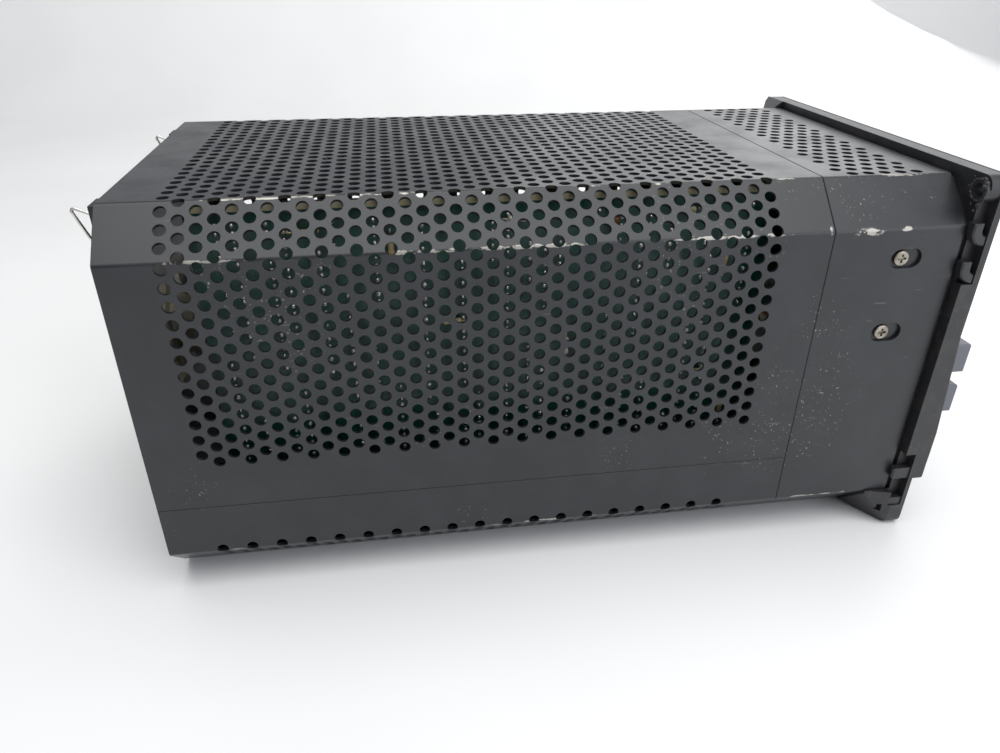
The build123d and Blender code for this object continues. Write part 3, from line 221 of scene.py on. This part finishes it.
def makeMoulded(name, setup):
    # injection moulded ABS: fine spark-eroded grain, with dust in the grain and paler handled patches
    material, tree, shader, place = newMaterial(name)
    grain = addNode(tree, "ShaderNodeTexNoise", {"Vector": place, "Scale": perMetre(setup["grainMm"]),
                                                 "Detail": 2.0})
    cloud = patches(tree, place, **grime["cloud"])
    speck = patches(tree, place, **grime["speck"])
    near = patches(tree, place, **grime["speckField"])
    speck = addNode(tree, "ShaderNodeMath", {0: speck, 1: near}, operation="MULTIPLY")
    dirty = addNode(tree, "ShaderNodeMath", {0: cloud, 1: 0.5, 2: speck}, operation="MULTIPLY_ADD",
                    use_clamp=True)
    share = addNode(tree, "ShaderNodeMath", {0: dirty, 1: setup["dirt"]}, operation="MULTIPLY")
    colour = addNode(tree, "ShaderNodeMix",
                     {0: share, 6: linear(setup["colour"]), 7: linear(setup["dust"])}, 2, data_type="RGBA")
    rough = addNode(tree, "ShaderNodeMapRange", {"Value": share, "To Min": setup["rough"],
                                                 "To Max": min(0.9, setup["rough"] + 0.35)})
    normal = addNode(tree, "ShaderNodeBump", {"Height": grain, "Strength": 0.3, "Distance": 0.04 * mm})
    connect(tree, shader, {"Base Color": colour, "Roughness": rough, "IOR": 1.53, "Normal": normal})
    return material


plated = {
    "zinc": {"colour": "#a9aaa6", "tint": "#b8ab84", "rough": 0.34, "brushMm": 0.5},
    "nickel": {"colour": "#aaa59b", "tint": "#6d6353", "rough": 0.3, "brushMm": 0.4},
    "tin": {"colour": "#e2e1dd", "tint": "#a7a298", "rough": 0.22, "brushMm": 0.5},
    "brass": {"colour": "#c7a75c", "tint": "#9c7b3a", "rough": 0.28, "brushMm": 0.5},
}


def makePlated(name, setup):
    # electroplated metal: bright, with cloudy tarnish and fine drawing marks
    material, tree, shader, place = newMaterial(name)
    cloud = patches(tree, place, sizeInMm=3.0, low=0.35, high=0.75, detail=4.0)
    colour = addNode(tree, "ShaderNodeMix",
                     {0: cloud, 6: linear(setup["colour"]), 7: linear(setup["tint"])}, 2, data_type="RGBA")
    drawn = patches(tree, place, sizeInMm=setup["brushMm"], low=0.3, high=0.7, stretch=(1, 0.06, 1))
    rough = addNode(tree, "ShaderNodeMapRange", {"Value": cloud, "To Min": setup["rough"],
                                                 "To Max": setup["rough"] + 0.2})
    normal = addNode(tree, "ShaderNodeBump", {"Height": drawn, "Strength": 0.3, "Distance": 0.02 * mm})
    connect(tree, shader, {"Base Color": colour, "Roughness": rough, "Metallic": 1.0, "Normal": normal})
    return material


anodised = {"colour": "#18191b", "edge": "#36383d", "lineMm": 0.4}


def makeAnodised(name, setup):
    # black anodised extrusion: dull metallic black with fine lines along the draw
    material, tree, shader, place = newMaterial(name)
    drawn = patches(tree, place, sizeInMm=setup["lineMm"], low=0.3, high=0.7, stretch=(1, 1, 0.03))
    colour = addNode(tree, "ShaderNodeMix",
                     {0: drawn, 6: linear(setup["colour"]), 7: linear(setup["edge"])}, 2, data_type="RGBA")
    normal = addNode(tree, "ShaderNodeBump", {"Height": drawn, "Strength": 0.4, "Distance": 0.03 * mm})
    connect(tree, shader, {"Base Color": colour, "Roughness": 0.42, "Metallic": 0.6, "Normal": normal})
    return material


# the mask colour is the board's green darkened past its own tone, as painted shade for the inside of the case
boardFinish = {"mask": "#06332d", "track": "#0b4439", "bare": "#b3a988", "flux": "#4a3420", "trackMm": 3.4,
               "rimMm": 2.0, "rimBlendMm": 0.2}


def makeSolderMask(name, setup, top):
    # green solder mask over etched copper, its green darkened as painted shade for the inside of the case:
    # tracks stand out paler, the sawn rim is bare glass fibre
    material, tree, shader, place = newMaterial(name)
    lines = addNode(tree, "ShaderNodeMapping", {"Vector": place, "Scale": (0.1, 1.0, 0.22)})
    cells = addNode(tree, "ShaderNodeTexVoronoi", {"Vector": lines, "Scale": perMetre(setup["trackMm"])},
                    "Distance", distance="CHEBYCHEV")
    track = addNode(tree, "ShaderNodeMapRange", {"Value": cells, "From Min": 0.34, "From Max": 0.38})
    colour = addNode(tree, "ShaderNodeMix",
                     {0: track, 6: linear(setup["mask"]), 7: linear(setup["track"])}, 2, data_type="RGBA")
    flux = patches(tree, place, sizeInMm=4.0, low=0.68, high=0.74, detail=2.0)
    colour = addNode(tree, "ShaderNodeMix",
                     {0: flux, 6: colour, 7: linear(setup["flux"])}, 2, data_type="RGBA")
    height = addNode(tree, "ShaderNodeSeparateXYZ", {0: place}, "Z")
    rim = addNode(tree, "ShaderNodeMapRange", {"Value": height, "From Min": top - setup["rimMm"] * mm,
                                               "From Max": top - (setup["rimMm"] - setup["rimBlendMm"]) * mm})
    colour = addNode(tree, "ShaderNodeMix",
                     {0: rim, 6: colour, 7: linear(setup["bare"])}, 2, data_type="RGBA")
    normal = addNode(tree, "ShaderNodeBump", {"Height": track, "Strength": 0.6, "Distance": 0.06 * mm})
    connect(tree, shader, {"Base Color": colour, "Roughness": 0.28, "IOR": 1.55, "Normal": normal})
    return material


laminations = {"colour": "#3a3633", "edge": "#6a625a", "varnish": "#4a3320", "bandMm": 3.1416}


def makeLaminations(name, setup):
    # stack of varnished iron sheets: pale bands across the stack under a brown varnish
    material, tree, shader, place = newMaterial(name)
    stack = addNode(tree, "ShaderNodeTexWave", {"Vector": place, "Scale": waveScale(setup["bandMm"]),
                                                "Distortion": 0.4}, 1, bands_direction="Y")
    varnish = patches(tree, place, sizeInMm=12.0, low=0.4, high=0.9)
    colour = addNode(tree, "ShaderNodeMix",
                     {0: stack, 6: linear(setup["colour"]), 7: linear(setup["edge"])}, 2, data_type="RGBA")
    colour = addNode(tree, "ShaderNodeMix",
                     {0: varnish, 6: colour, 7: linear(setup["varnish"])}, 2, data_type="RGBA")
    normal = addNode(tree, "ShaderNodeBump", {"Height": stack, "Strength": 0.5, "Distance": 0.08 * mm})
    connect(tree, shader, {"Base Color": colour, "Roughness": 0.45, "Metallic": 0.4, "Normal": normal})
    return material


windingTape = {"colour": "#b98a2c", "lap": "#8a6420", "lapMm": 56.549}


def makeTape(name, setup):
    # polyester tape wound in laps: smooth yellow with a darker line at each lap
    material, tree, shader, place = newMaterial(name)
    laps = addNode(tree, "ShaderNodeTexWave", {"Vector": place, "Scale": waveScale(setup["lapMm"]),
                                               "Distortion": 0.6, "Detail": 1.0}, 1, bands_direction="Z")
    line = addNode(tree, "ShaderNodeMapRange", {"Value": laps, "From Min": 0.9, "From Max": 1.0})
    colour = addNode(tree, "ShaderNodeMix",
                     {0: line, 6: linear(setup["colour"]), 7: linear(setup["lap"])}, 2, data_type="RGBA")
    normal = addNode(tree, "ShaderNodeBump", {"Height": laps, "Strength": 0.4, "Distance": 0.1 * mm})
    connect(tree, shader, {"Base Color": colour, "Roughness": 0.25, "IOR": 1.6, "Normal": normal})
    return material


casings = {"colours": ["#d8d2c2", "#2a2a2c", "#7a4a24", "#c9b98e", "#24364f", "#c2ad7a"], "soil": "#4d4840"}


def makeComponentCasings(name, setup):
    # cement, lacquer and shrink sleeve: each component keeps one of the usual colours
    material, tree, shader, place = newMaterial(name)
    island = addNode(tree, "ShaderNodeNewGeometry", output="Random Per Island")
    choice = tree.nodes.new("ShaderNodeValToRGB")
    choice.color_ramp.interpolation = "CONSTANT"
    count = len(setup["colours"])
    while len(choice.color_ramp.elements) < count:
        choice.color_ramp.elements.new(0.5)
    for index, hexColour in enumerate(setup["colours"]):
        choice.color_ramp.elements[index].position = index / count
        choice.color_ramp.elements[index].color = linear(hexColour)
    connect(tree, choice, {"Fac": island})
    soil = patches(tree, place, sizeInMm=3.0, low=0.4, high=1.2, detail=4.0)
    colour = addNode(tree, "ShaderNodeMix",
                     {0: soil, 6: choice.outputs[0], 7: linear(setup["soil"])}, 2, data_type="RGBA")
    normal = addNode(tree, "ShaderNodeBump", {"Height": soil, "Strength": 0.5, "Distance": 0.05 * mm})
    connect(tree, shader, {"Base Color": colour, "Roughness": 0.5, "Normal": normal})
    return material


def makeClear(name, tint, ior):
    # cast acrylic or drawn glass: clear, with a light haze from handling
    material, tree, shader, place = newMaterial(name)
    haze = patches(tree, place, sizeInMm=8.0, low=0.4, high=0.9, detail=4.0)
    rough = addNode(tree, "ShaderNodeMapRange", {"Value": haze, "To Min": 0.02, "To Max": 0.12})
    connect(tree, shader, {"Base Color": linear(tint), "Roughness": rough, "IOR": ior,
                           "Transmission Weight": 1.0})
    return material


def makeMottled(name, base, fleck, rough, sizeInMm=2.0):
    # printed card, lacquer, rubber or shrink sleeve: an even colour with a faint mottle
    material, tree, shader, place = newMaterial(name)
    mottle = patches(tree, place, sizeInMm=sizeInMm, low=0.3, high=0.8, detail=5.0)
    colour = addNode(tree, "ShaderNodeMix",
                     {0: mottle, 6: linear(base), 7: linear(fleck)}, 2, data_type="RGBA")
    normal = addNode(tree, "ShaderNodeBump", {"Height": mottle, "Strength": 0.3, "Distance": 0.02 * mm})
    connect(tree, shader, {"Base Color": colour, "Roughness": rough, "Normal": normal})
    return material


boardLow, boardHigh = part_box("regulator_board")
blackEnamel = makeStoveEnamel("blackStoveEnamel", enamel)
plainEnamel = makeStoveEnamel("blackBracketEnamel", {**enamel, "colour": "#111214"}, False)
panelEnamel = makeStoveEnamel("greyPanelEnamel", {**enamel, "colour": "#3d3f43", "worn": "#45474b"}, False)
rearEnamel = makeStoveEnamel("rearPanelEnamel", {**enamel, "colour": "#222326"}, False)
bezelAbs = makeMoulded("bezelMouldedAbs", moulded["bezel"])
brokenAbs = makeMoulded("brokenMouldedAbs", moulded["broken"])
keycapAbs = makeMoulded("keycapMouldedAbs", moulded["keycap"])
blackAbs = makeMoulded("blackMouldedAbs", moulded["black"])
redAbs = makeMoulded("redMouldedAbs", moulded["red"])
greenAbs = makeMoulded("greenMouldedAbs", moulded["green"])
redLens = makeMoulded("redLensPolycarbonate", moulded["lens"])
zincSteel = makePlated("zincPlatedSteel", plated["zinc"])
nickelSteel = makePlated("nickelPlatedSteel", plated["nickel"])
tinned = makePlated("tinnedCopper", plated["tin"])
brass = makePlated("machinedBrass", plated["brass"])
blackAnodised = makeAnodised("blackAnodisedAluminium", anodised)
boardMask = makeSolderMask("greenSolderMask", boardFinish, boardHigh.z)
ironStack = makeLaminations("varnishedLaminations", laminations)
yellowTape = makeTape("woundPolyesterTape", windingTape)
componentMix = makeComponentCasings("componentCasings", casings)
acrylic = makeClear("castAcrylic", "#f4f7f8", 1.49)
glassTube = makeClear("drawnGlass", "#eef4ef", 1.52)
ivoryPlate = makeMottled("ivoryPrintedPlate", "#e6e2d4", "#dad5c4", 0.55)
micaSheet = makeMottled("splitMica", "#c9c2ad", "#b7ae94", 0.4)
blackLacquer = makeMottled("blackLacquer", "#141414", "#1e1e1e", 0.4)
whiteInk = makeMottled("whiteScreenInk", "#d9d9d4", "#c9c9c3", 0.6)
blueSleeve = makeMottled("blueShrinkSleeve", "#1b2f56", "#203762", 0.3)
rubber = makeMottled("mouldedRubber", "#1d1d1d", "#2b2a28", 0.75, 1.0)
print("materials made")

dress(blackEnamel, "upper_cover", "lower_tray", "front_sleeve")
dress(plainEnamel, "front_brackets", "lap_band")
dress(rearEnamel, "rear_panel")
dress(panelEnamel, "front_panel")
dress(bezelAbs, "front_bezel")
dress(keycapAbs, "power_button", "output_button")
dress(blackAbs, "voltmeter_case", "ammeter_case", "voltage_knob", "current_knob", "push_switches",
      "lamp_holders", "post_bases", "negative_cap", "bobbin_flanges", "bridge_rectifier", "mains_inlet",
      "fuse_holder", "fuse_cap", "sense_terminal_blocks")
dress(redAbs, "positive_cap")
dress(greenAbs, "earth_cap")
dress(yellowTape, "transformer_winding")
dress(zincSteel, "voltage_shaft", "current_shaft", "control_pots", "chassis_plate", "transformer_clamp",
      "capacitor_clamps", "board_brackets", "power_transistors")
dress(nickelSteel, "side_slot_screws", "hex_nuts", "clamp_screws", "rear_screws")
dress(tinned, "sense_wire_links")
dress(brass, "post_tubes", "spacer_posts", "inlet_pins", "earth_stud")
dress(blackAnodised, "side_rails", "rear_heat_sink", "board_heat_sink")
dress(boardMask, "regulator_board", "control_board")
dress(componentMix, "board_components")
dress(ironStack, "transformer_core")
dress(acrylic, "meter_windows")
dress(glassTube, "fuse")
dress(ivoryPlate, "meter_scale_plates")
dress(micaSheet, "transistor_washers")
dress(blackLacquer, "voltmeter_needle", "ammeter_needle")
dress(blueSleeve, "reservoir_capacitors")
dress(rubber, "rear_pads")
dress(redLens, "lamp_lenses")
print("frame dressed")


def meshFrom(work, name, smooth=False):
    for face in work.faces:
        face.smooth = smooth
    mesh = bpy.data.meshes.new(name)
    work.to_mesh(mesh)
    work.free()
    return mesh


def addPiece(mesh, body, slot, *materials):
    piece = bpy.data.objects.new(mesh.name, mesh)
    bpy.context.scene.collection.objects.link(piece)
    for material in materials:
        mesh.materials.append(material)
    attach(piece, body)


def turned(work, profile, segments, place):
    # profile points are distance along X and radius
    rings = []
    for along, radius in profile:
        rings.append([work.verts.new(place @ Vector((along, radius * math.cos(a), radius * math.sin(a))))
                      for a in (2 * math.pi * k / segments for k in range(segments))])
    for low, high in zip(rings, rings[1:]):
        for k in range(segments):
            work.faces.new((low[k], low[(k + 1) % segments], high[(k + 1) % segments], high[k]))
    work.faces.new(rings[0][::-1])
    work.faces.new(rings[-1])


solder = {
    "pitch": 2.54, "radius": 0.85, "height": 0.8, "sunk": 0.1, "columns": 24, "margin": 5.0, "segments": 10,
    "rowPoints": (9, 24), "start": (3, 20), "gap": (4, 22), "spread": (0.2, 0.8), "wider": (0.75, 1.2),
    "taller": (0.8, 1.4), "seed": 7,
}


def makeSolderPoints(setup):
    # domes of solder in long rows up the board, where the parts on its inner face come through
    draw = random.Random(setup["seed"])
    work = bmesh.new()
    pitch = setup["pitch"] * mm
    margin = setup["margin"] * mm
    step = (boardHigh.y - boardLow.y - 2 * margin) / setup["columns"]
    spots = set()
    for column in range(setup["columns"]):
        y = boardLow.y + margin + step * (column + draw.uniform(*setup["spread"]))
        z = boardLow.z + draw.uniform(*setup["start"]) * mm
        while z < boardHigh.z - margin:
            for _ in range(draw.randint(*setup["rowPoints"])):
                spots.add((round(y / pitch), round(z / pitch)))
                z += pitch
            z += draw.uniform(*setup["gap"]) * mm
            y += draw.choice((-1, 0, 1)) * pitch
    for spotY, spotZ in sorted(spots):
        y, z = spotY * pitch, spotZ * pitch
        onBoard = boardLow.y + margin < y < boardHigh.y - margin
        if not (onBoard and boardLow.z + margin < z < boardHigh.z - margin):
            continue
        size = setup["radius"] * mm * draw.uniform(*setup["wider"])
        tall = setup["height"] * mm * draw.uniform(*setup["taller"])
        # a quarter of a circle drawn tall, with a foot sunk into the board
        dome = [(-tall * math.sin(a), size * math.cos(a)) for a in (math.pi * k / 8 for k in range(4))]
        turned(work, [(setup["sunk"] * mm, size), *dome, (-tall, 0.2 * size)], setup["segments"],
               Matrix.Translation((boardLow.x, y, z)))
    addPiece(meshFrom(work, "solder_points", True), "root", "tinned_wire", tinned)


resistors = {
    "places": [(88.0, 129.5), (61.0, 124.0), (20.0, 131.0), (-13.0, 127.0), (-37.0, 131.5), (-53.0, 112.0),
               (42.0, 96.0), (2.0, 84.0), (-48.0, 70.0), (-60.0, 52.0)],
    "halfLength": 3.1, "radius": 1.15, "leadRadius": 0.3, "leadReach": 5.1, "lift": 1.5, "sunk": 0.1,
    # from an end to the waist, as shares of the half length and of the radius
    "swell": [(1.0, 0.35), (0.96, 0.8), (0.8, 1.0), (0.6, 0.95), (0.45, 0.8)],
    "bodySegments": 14, "leadSegments": 8, "leadTip": 0.6,
}


def makeResistors(setup):
    # film resistors with swollen ends, tacked across the board's outer face by their bent leads
    work = bmesh.new()
    half, radius = setup["halfLength"] * mm, setup["radius"] * mm
    lead, reach = setup["leadRadius"] * mm, setup["leadReach"] * mm
    tip, segments = setup["leadTip"] * lead, setup["leadSegments"]
    drop = (setup["lift"] + setup["sunk"]) * mm
    profile = [(-half * along, radius * size) for along, size in setup["swell"]]
    profile += [(-along, size) for along, size in reversed(profile)]
    for index, (y, z) in enumerate(setup["places"]):
        middle = Matrix.Translation((boardLow.x - setup["lift"] * mm, y * mm, z * mm))
        place = middle @ Matrix.Rotation(math.radians(90), 4, "Y" if index % 2 else "Z")
        turned(work, profile, setup["bodySegments"], place)
        for end in (-1, 1):
            turned(work, [(half * 0.9, lead), (reach - lead, lead), (reach, tip)], segments,
                   place @ Matrix.Rotation(0 if end > 0 else math.pi, 4, "Z"))
            foot = place @ Vector((end * (reach - lead), 0, 0))
            down = Matrix.Translation(foot)
            turned(work, [(-lead, tip), (0, lead), (drop, lead)], segments, down)
    addPiece(meshFrom(work, "film_resistors", True), "root", "components", componentMix)


makeSolderPoints(solder)
makeResistors(resistors)
print("board finished")


fracture = {
    "bossFromSide": 4.2, "bossFromTop": 5.2, "face": -131.55, "inner": 3.0, "outer": 3.9, "points": 44,
    "rough": 0.4, "depth": 0.4, "seed": 4,
    "flakeSunk": 0.1, "flakeTilt": 0.6, "flakeDent": 0.12, "flakeShape": (1.0, 0.4, 0.7, 1),
    # loose flakes still held to the torn face: distance from the boss in X and Z, and size
    "flakes": [(-1.9, -4.9, 1.4), (-3.1, -1.4, 0.9), (-2.6, 1.4, 1.2), (-1.6, 4.0, 0.8), (1.6, -5.0, 0.7),
               (-2.9, -3.0, 0.8), (-3.0, 3.0, 0.8), (-0.4, -6.8, 0.6), (3.4, 3.6, 0.5), (4.6, 0.4, 0.5)],
}


def makeTornPlastic(setup):
    # torn rim and flakes left round the corner screw boss where the corner broke away
    low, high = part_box("front_bezel")
    draw = random.Random(setup["seed"])
    work = bmesh.new()
    x = low.x + setup["bossFromSide"] * mm
    z = high.z - setup["bossFromTop"] * mm
    y = setup["face"] * mm
    count = setup["points"]
    rings = []
    for index in range(count):
        turn = 2 * math.pi * index / count
        inner = setup["inner"] + draw.uniform(0, 0.3)
        outer = setup["outer"] + draw.uniform(-0.3, 0.5) * setup["rough"]
        crest = setup["rough"] * draw.uniform(0.1, 1.0)
        ring = []
        middle = (inner + outer) / 2
        for radius, lift in ((inner, 0.0), (middle, crest), (outer, 0.0), (middle, -setup["depth"])):
            ring.append(work.verts.new((x + radius * mm * math.cos(turn), y + lift * mm,
                                        z + radius * mm * math.sin(turn))))
        rings.append(ring)
    for index in range(count):
        here, after = rings[index], rings[(index + 1) % count]
        for k in range(4):
            work.faces.new((here[k], here[(k + 1) % 4], after[(k + 1) % 4], after[k]))
    for stepX, stepZ, size in setup["flakes"]:
        tilt, dent = setup["flakeTilt"], setup["flakeDent"]
        turn = Euler([draw.uniform(-tilt, tilt) for _ in range(3)]).to_matrix().to_4x4()
        place = Matrix.Translation((x + stepX * mm, y - setup["flakeSunk"] * mm, z + stepZ * mm)) @ turn
        made = bmesh.ops.create_icosphere(work, subdivisions=2, radius=size * mm,
                                          matrix=place @ Matrix.Diagonal(setup["flakeShape"]))
        for vert in made["verts"]:
            vert.co += Vector([draw.uniform(-dent, dent) * size * mm for _ in range(3)])
    addPiece(meshFrom(work, "torn_plastic"), "root", "bezel_abs", brokenAbs)


makeTornPlastic(fracture)
print("broken corner finished")


dial = {"ticks": 11, "sweep": 150.0, "inner": 14.6, "outer": 16.8, "width": 0.5, "lift": 0.12,
        "numberRadius": 19.6, "numberSize": 3.6, "signAbove": 5.0, "signLength": 3.4, "signWidth": 0.6}
scale = {"ticks": 31, "sweep": 40.0, "inner": 26.0, "minor": 27.4, "major": 28.6, "width": 0.26, "lift": 0.08,
         "numberRadius": 30.6, "numberSize": 2.7, "pivotDrop": 12.0}
pointer = {"width": 0.9, "low": 2.2, "high": 11.0, "inset": 0.05, "depth": 0.7}


def addBar(work, middle, length, width, turn, front, back):
    # flat bar with rounded ends in the XZ plane, turned from upright
    points = []
    for end in (1, -1):
        for step in range(5):
            a = math.pi * step / 4 + (0 if end > 0 else math.pi)
            points.append((width / 2 * math.cos(a), end * (length / 2 - width / 2) + width / 2 * math.sin(a)))
    spin = Matrix.Rotation(turn, 2)
    sides = []
    for y in (front, back):
        sides.append([work.verts.new((middle[0] + (spin @ Vector(p)).x, y, middle[1] + (spin @ Vector(p)).y))
                      for p in points])
    work.faces.new(sides[0])
    work.faces.new(sides[1][::-1])
    for k in range(len(points)):
        after = (k + 1) % len(points)
        work.faces.new((sides[0][after], sides[0][k], sides[1][k], sides[1][after]))


def addCharacter(work, text, size, x, y, z, lift):
    # plain figure that reads from the front
    curve = bpy.data.curves.new("figure", "FONT")
    curve.body = text
    curve.size = size
    curve.extrude = lift
    curve.resolution_u = 4
    curve.align_x = "CENTER"
    curve.align_y = "CENTER"
    holder = bpy.data.objects.new("figure", curve)
    mesh = bpy.data.meshes.new_from_object(holder)
    mesh.transform(Matrix.Translation((x, y, z)) @ Matrix.Rotation(math.radians(90), 4, "X"))
    work.from_mesh(mesh)
    bpy.data.meshes.remove(mesh)
    bpy.data.objects.remove(holder)
    bpy.data.curves.remove(curve)


def makeKnobMarks(setup, bar):
    # printed ticks and plain numbers round each knob, and a white line let into the knob
    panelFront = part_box("front_panel")[0].y
    work = bmesh.new()
    for name in ("voltage", "current"):
        low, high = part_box(name + "_knob")
        x, z = (low.x + high.x) / 2, (low.z + high.z) / 2
        for index in range(setup["ticks"]):
            turn = math.radians(setup["sweep"] * (2 * index / (setup["ticks"] - 1) - 1))
            reach = (setup["inner"] + setup["outer"]) / 2 * mm
            addBar(work, (x + reach * math.sin(turn), z + reach * math.cos(turn)),
                   (setup["outer"] - setup["inner"]) * mm, setup["width"] * mm, -turn,
                   panelFront - setup["lift"] * mm, panelFront + setup["lift"] * mm)
            if index % 2 == 0:
                reach = setup["numberRadius"] * mm
                addCharacter(work, str(index), setup["numberSize"] * mm, x + reach * math.sin(turn),
                             panelFront, z + reach * math.cos(turn), setup["lift"] * mm)
        line = bmesh.new()
        addBar(line, (x, z + (bar["low"] + bar["high"]) / 2 * mm), (bar["high"] - bar["low"]) * mm,
               bar["width"] * mm, 0.0, low.y + bar["inset"] * mm, low.y + bar["depth"] * mm)
        addPiece(meshFrom(line, name + "_pointer_line"), name + "_control", "scale_white", whiteInk)
    for name, crossed in (("negative", False), ("positive", True)):
        low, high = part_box(name + "_cap")
        x, z = (low.x + high.x) / 2, high.z + setup["signAbove"] * mm
        for turn in (math.pi / 2, 0.0)[:2 if crossed else 1]:
            addBar(work, (x, z), setup["signLength"] * mm, setup["signWidth"] * mm, turn,
                   panelFront - setup["lift"] * mm, panelFront + setup["lift"] * mm)
    addPiece(meshFrom(work, "panel_marks"), "root", "scale_white", whiteInk)


def makeScaleMarks(setup, names):
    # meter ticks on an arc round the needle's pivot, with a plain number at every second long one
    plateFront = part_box("meter_scale_plates")[0].y
    work = bmesh.new()
    for name, numbers in names.items():
        caseLow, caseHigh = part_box(name + "_case")
        x = (caseLow.x + caseHigh.x) / 2
        z = (caseLow.z + caseHigh.z) / 2 - setup["pivotDrop"] * mm
        for index in range(setup["ticks"]):
            share = index / (setup["ticks"] - 1)
            turn = math.radians(setup["sweep"] * (2 * share - 1))
            long = index % 5 == 0
            outer = setup["major"] if long else setup["minor"]
            reach = (setup["inner"] + outer) / 2 * mm
            addBar(work, (x + reach * math.sin(turn), z + reach * math.cos(turn)),
                   (outer - setup["inner"]) * mm, setup["width"] * (1.5 if long else 1.0) * mm, -turn,
                   plateFront - setup["lift"] * mm, plateFront + setup["lift"] * mm)
            if index % 10 == 0:
                reach = setup["numberRadius"] * mm
                addCharacter(work, numbers[index // 10], setup["numberSize"] * mm, x + reach * math.sin(turn),
                             plateFront, z + reach * math.cos(turn), setup["lift"] * mm)
    addPiece(meshFrom(work, "meter_scale_marks"), "root", "needle_black", blackLacquer)


makeKnobMarks(dial, pointer)
makeScaleMarks(scale, {"voltmeter": ["0", "10", "20", "30"], "ammeter": ["0", "1", "2", "3"]})
print("front panel finished")


stage = {"floor": "#f0efed", "shade": "#ebeae8", "reach": 3.2, "wallX": 1.15, "bend": 0.3, "wallHigh": 0.42,
         "bendSteps": 12, "mottleMm": 220.0}


def makeStage(setup):
    # pale laminate table top that curves up into a plain backdrop
    material, tree, shader, place = newMaterial("paleLaminate")
    cloud = patches(tree, place, sizeInMm=setup["mottleMm"], low=0.35, high=0.75, detail=2.0)
    colour = addNode(tree, "ShaderNodeMix",
                     {0: cloud, 6: linear(setup["floor"]), 7: linear(setup["shade"])}, 2, data_type="RGBA")
    connect(tree, shader, {"Base Color": colour, "Roughness": 0.5})
    work = bmesh.new()
    reach, bend = setup["reach"], setup["bend"]
    outline = [(-reach, 0.0), (setup["wallX"] - bend, 0.0)]
    for step in range(1, setup["bendSteps"] + 1):
        turn = math.radians(90 * step / setup["bendSteps"])
        outline.append((setup["wallX"] - bend + bend * math.sin(turn), bend - bend * math.cos(turn)))
    outline.append((setup["wallX"], setup["wallHigh"]))
    rows = [[work.verts.new((x, y, z)) for x, z in outline] for y in (-reach, reach)]
    for index in range(len(outline) - 1):
        work.faces.new((rows[0][index], rows[0][index + 1], rows[1][index + 1], rows[1][index]))
    floor = bpy.data.objects.new("floor", meshFrom(work, "floor", True))
    bpy.context.scene.collection.objects.link(floor)
    floor.data.materials.append(material)


makeStage(stage)

lighting = {
    "sky": "#dfe6ee", "skyStrength": 0.38, "aim": (0, 0, 0.07),
    "lamps": {
        "overheadSoftbox": {"place": (-0.2, -0.05, 1.3), "size": 1.5, "power": 19.0, "tint": "#ffffff"},
        "frontSoftbox": {"place": (-1.1, -0.9, 0.6), "size": 1.3, "power": 10.5, "tint": "#f2f6ff"},
        "farSoftbox": {"place": (0.98, -0.65, 0.58), "size": 1.1, "power": 5.0, "tint": "#ffffff"},
    },
}


def makeLight(name, setup, aim):
    lamp = bpy.data.lights.new(name, "AREA")
    lamp.shape = "SQUARE"
    lamp.size = setup["size"]
    lamp.energy = setup["power"]
    lamp.color = linear(setup["tint"])[:3]
    holder = bpy.data.objects.new(name, lamp)
    holder.location = setup["place"]
    holder.rotation_euler = (aim - Vector(setup["place"])).to_track_quat("-Z", "Y").to_euler()
    holder.visible_camera = False     # lights and reflects, and stays out of the picture itself
    bpy.context.scene.collection.objects.link(holder)


for lampName, lampSetup in lighting["lamps"].items():
    makeLight(lampName, lampSetup, Vector(lighting["aim"]))
world = bpy.data.worlds.new("studio")
world.use_nodes = True
world.node_tree.nodes["Background"].inputs["Color"].default_value = linear(lighting["sky"])
world.node_tree.nodes["Background"].inputs["Strength"].default_value = lighting["skyStrength"]
bpy.context.scene.world = world
bpy.context.scene.view_settings.view_transform = "Standard"

view = {"place": (-0.29927, 0.06061, 0.20526), "turn": (60.894, -0.185, -98.405), "lens": 27.26,
        "sensor": 36.0, "near": 0.01}
camera = bpy.data.cameras.new("camera")
camera.lens = view["lens"]
camera.sensor_width = view["sensor"]
camera.clip_start = view["near"]
cameraHolder = bpy.data.objects.new("camera", camera)
cameraHolder.location = view["place"]
cameraHolder.rotation_euler = Euler([math.radians(a) for a in view["turn"]])
bpy.context.scene.collection.objects.link(cameraHolder)
bpy.context.scene.camera = cameraHolder
print("stage, lights and camera set")
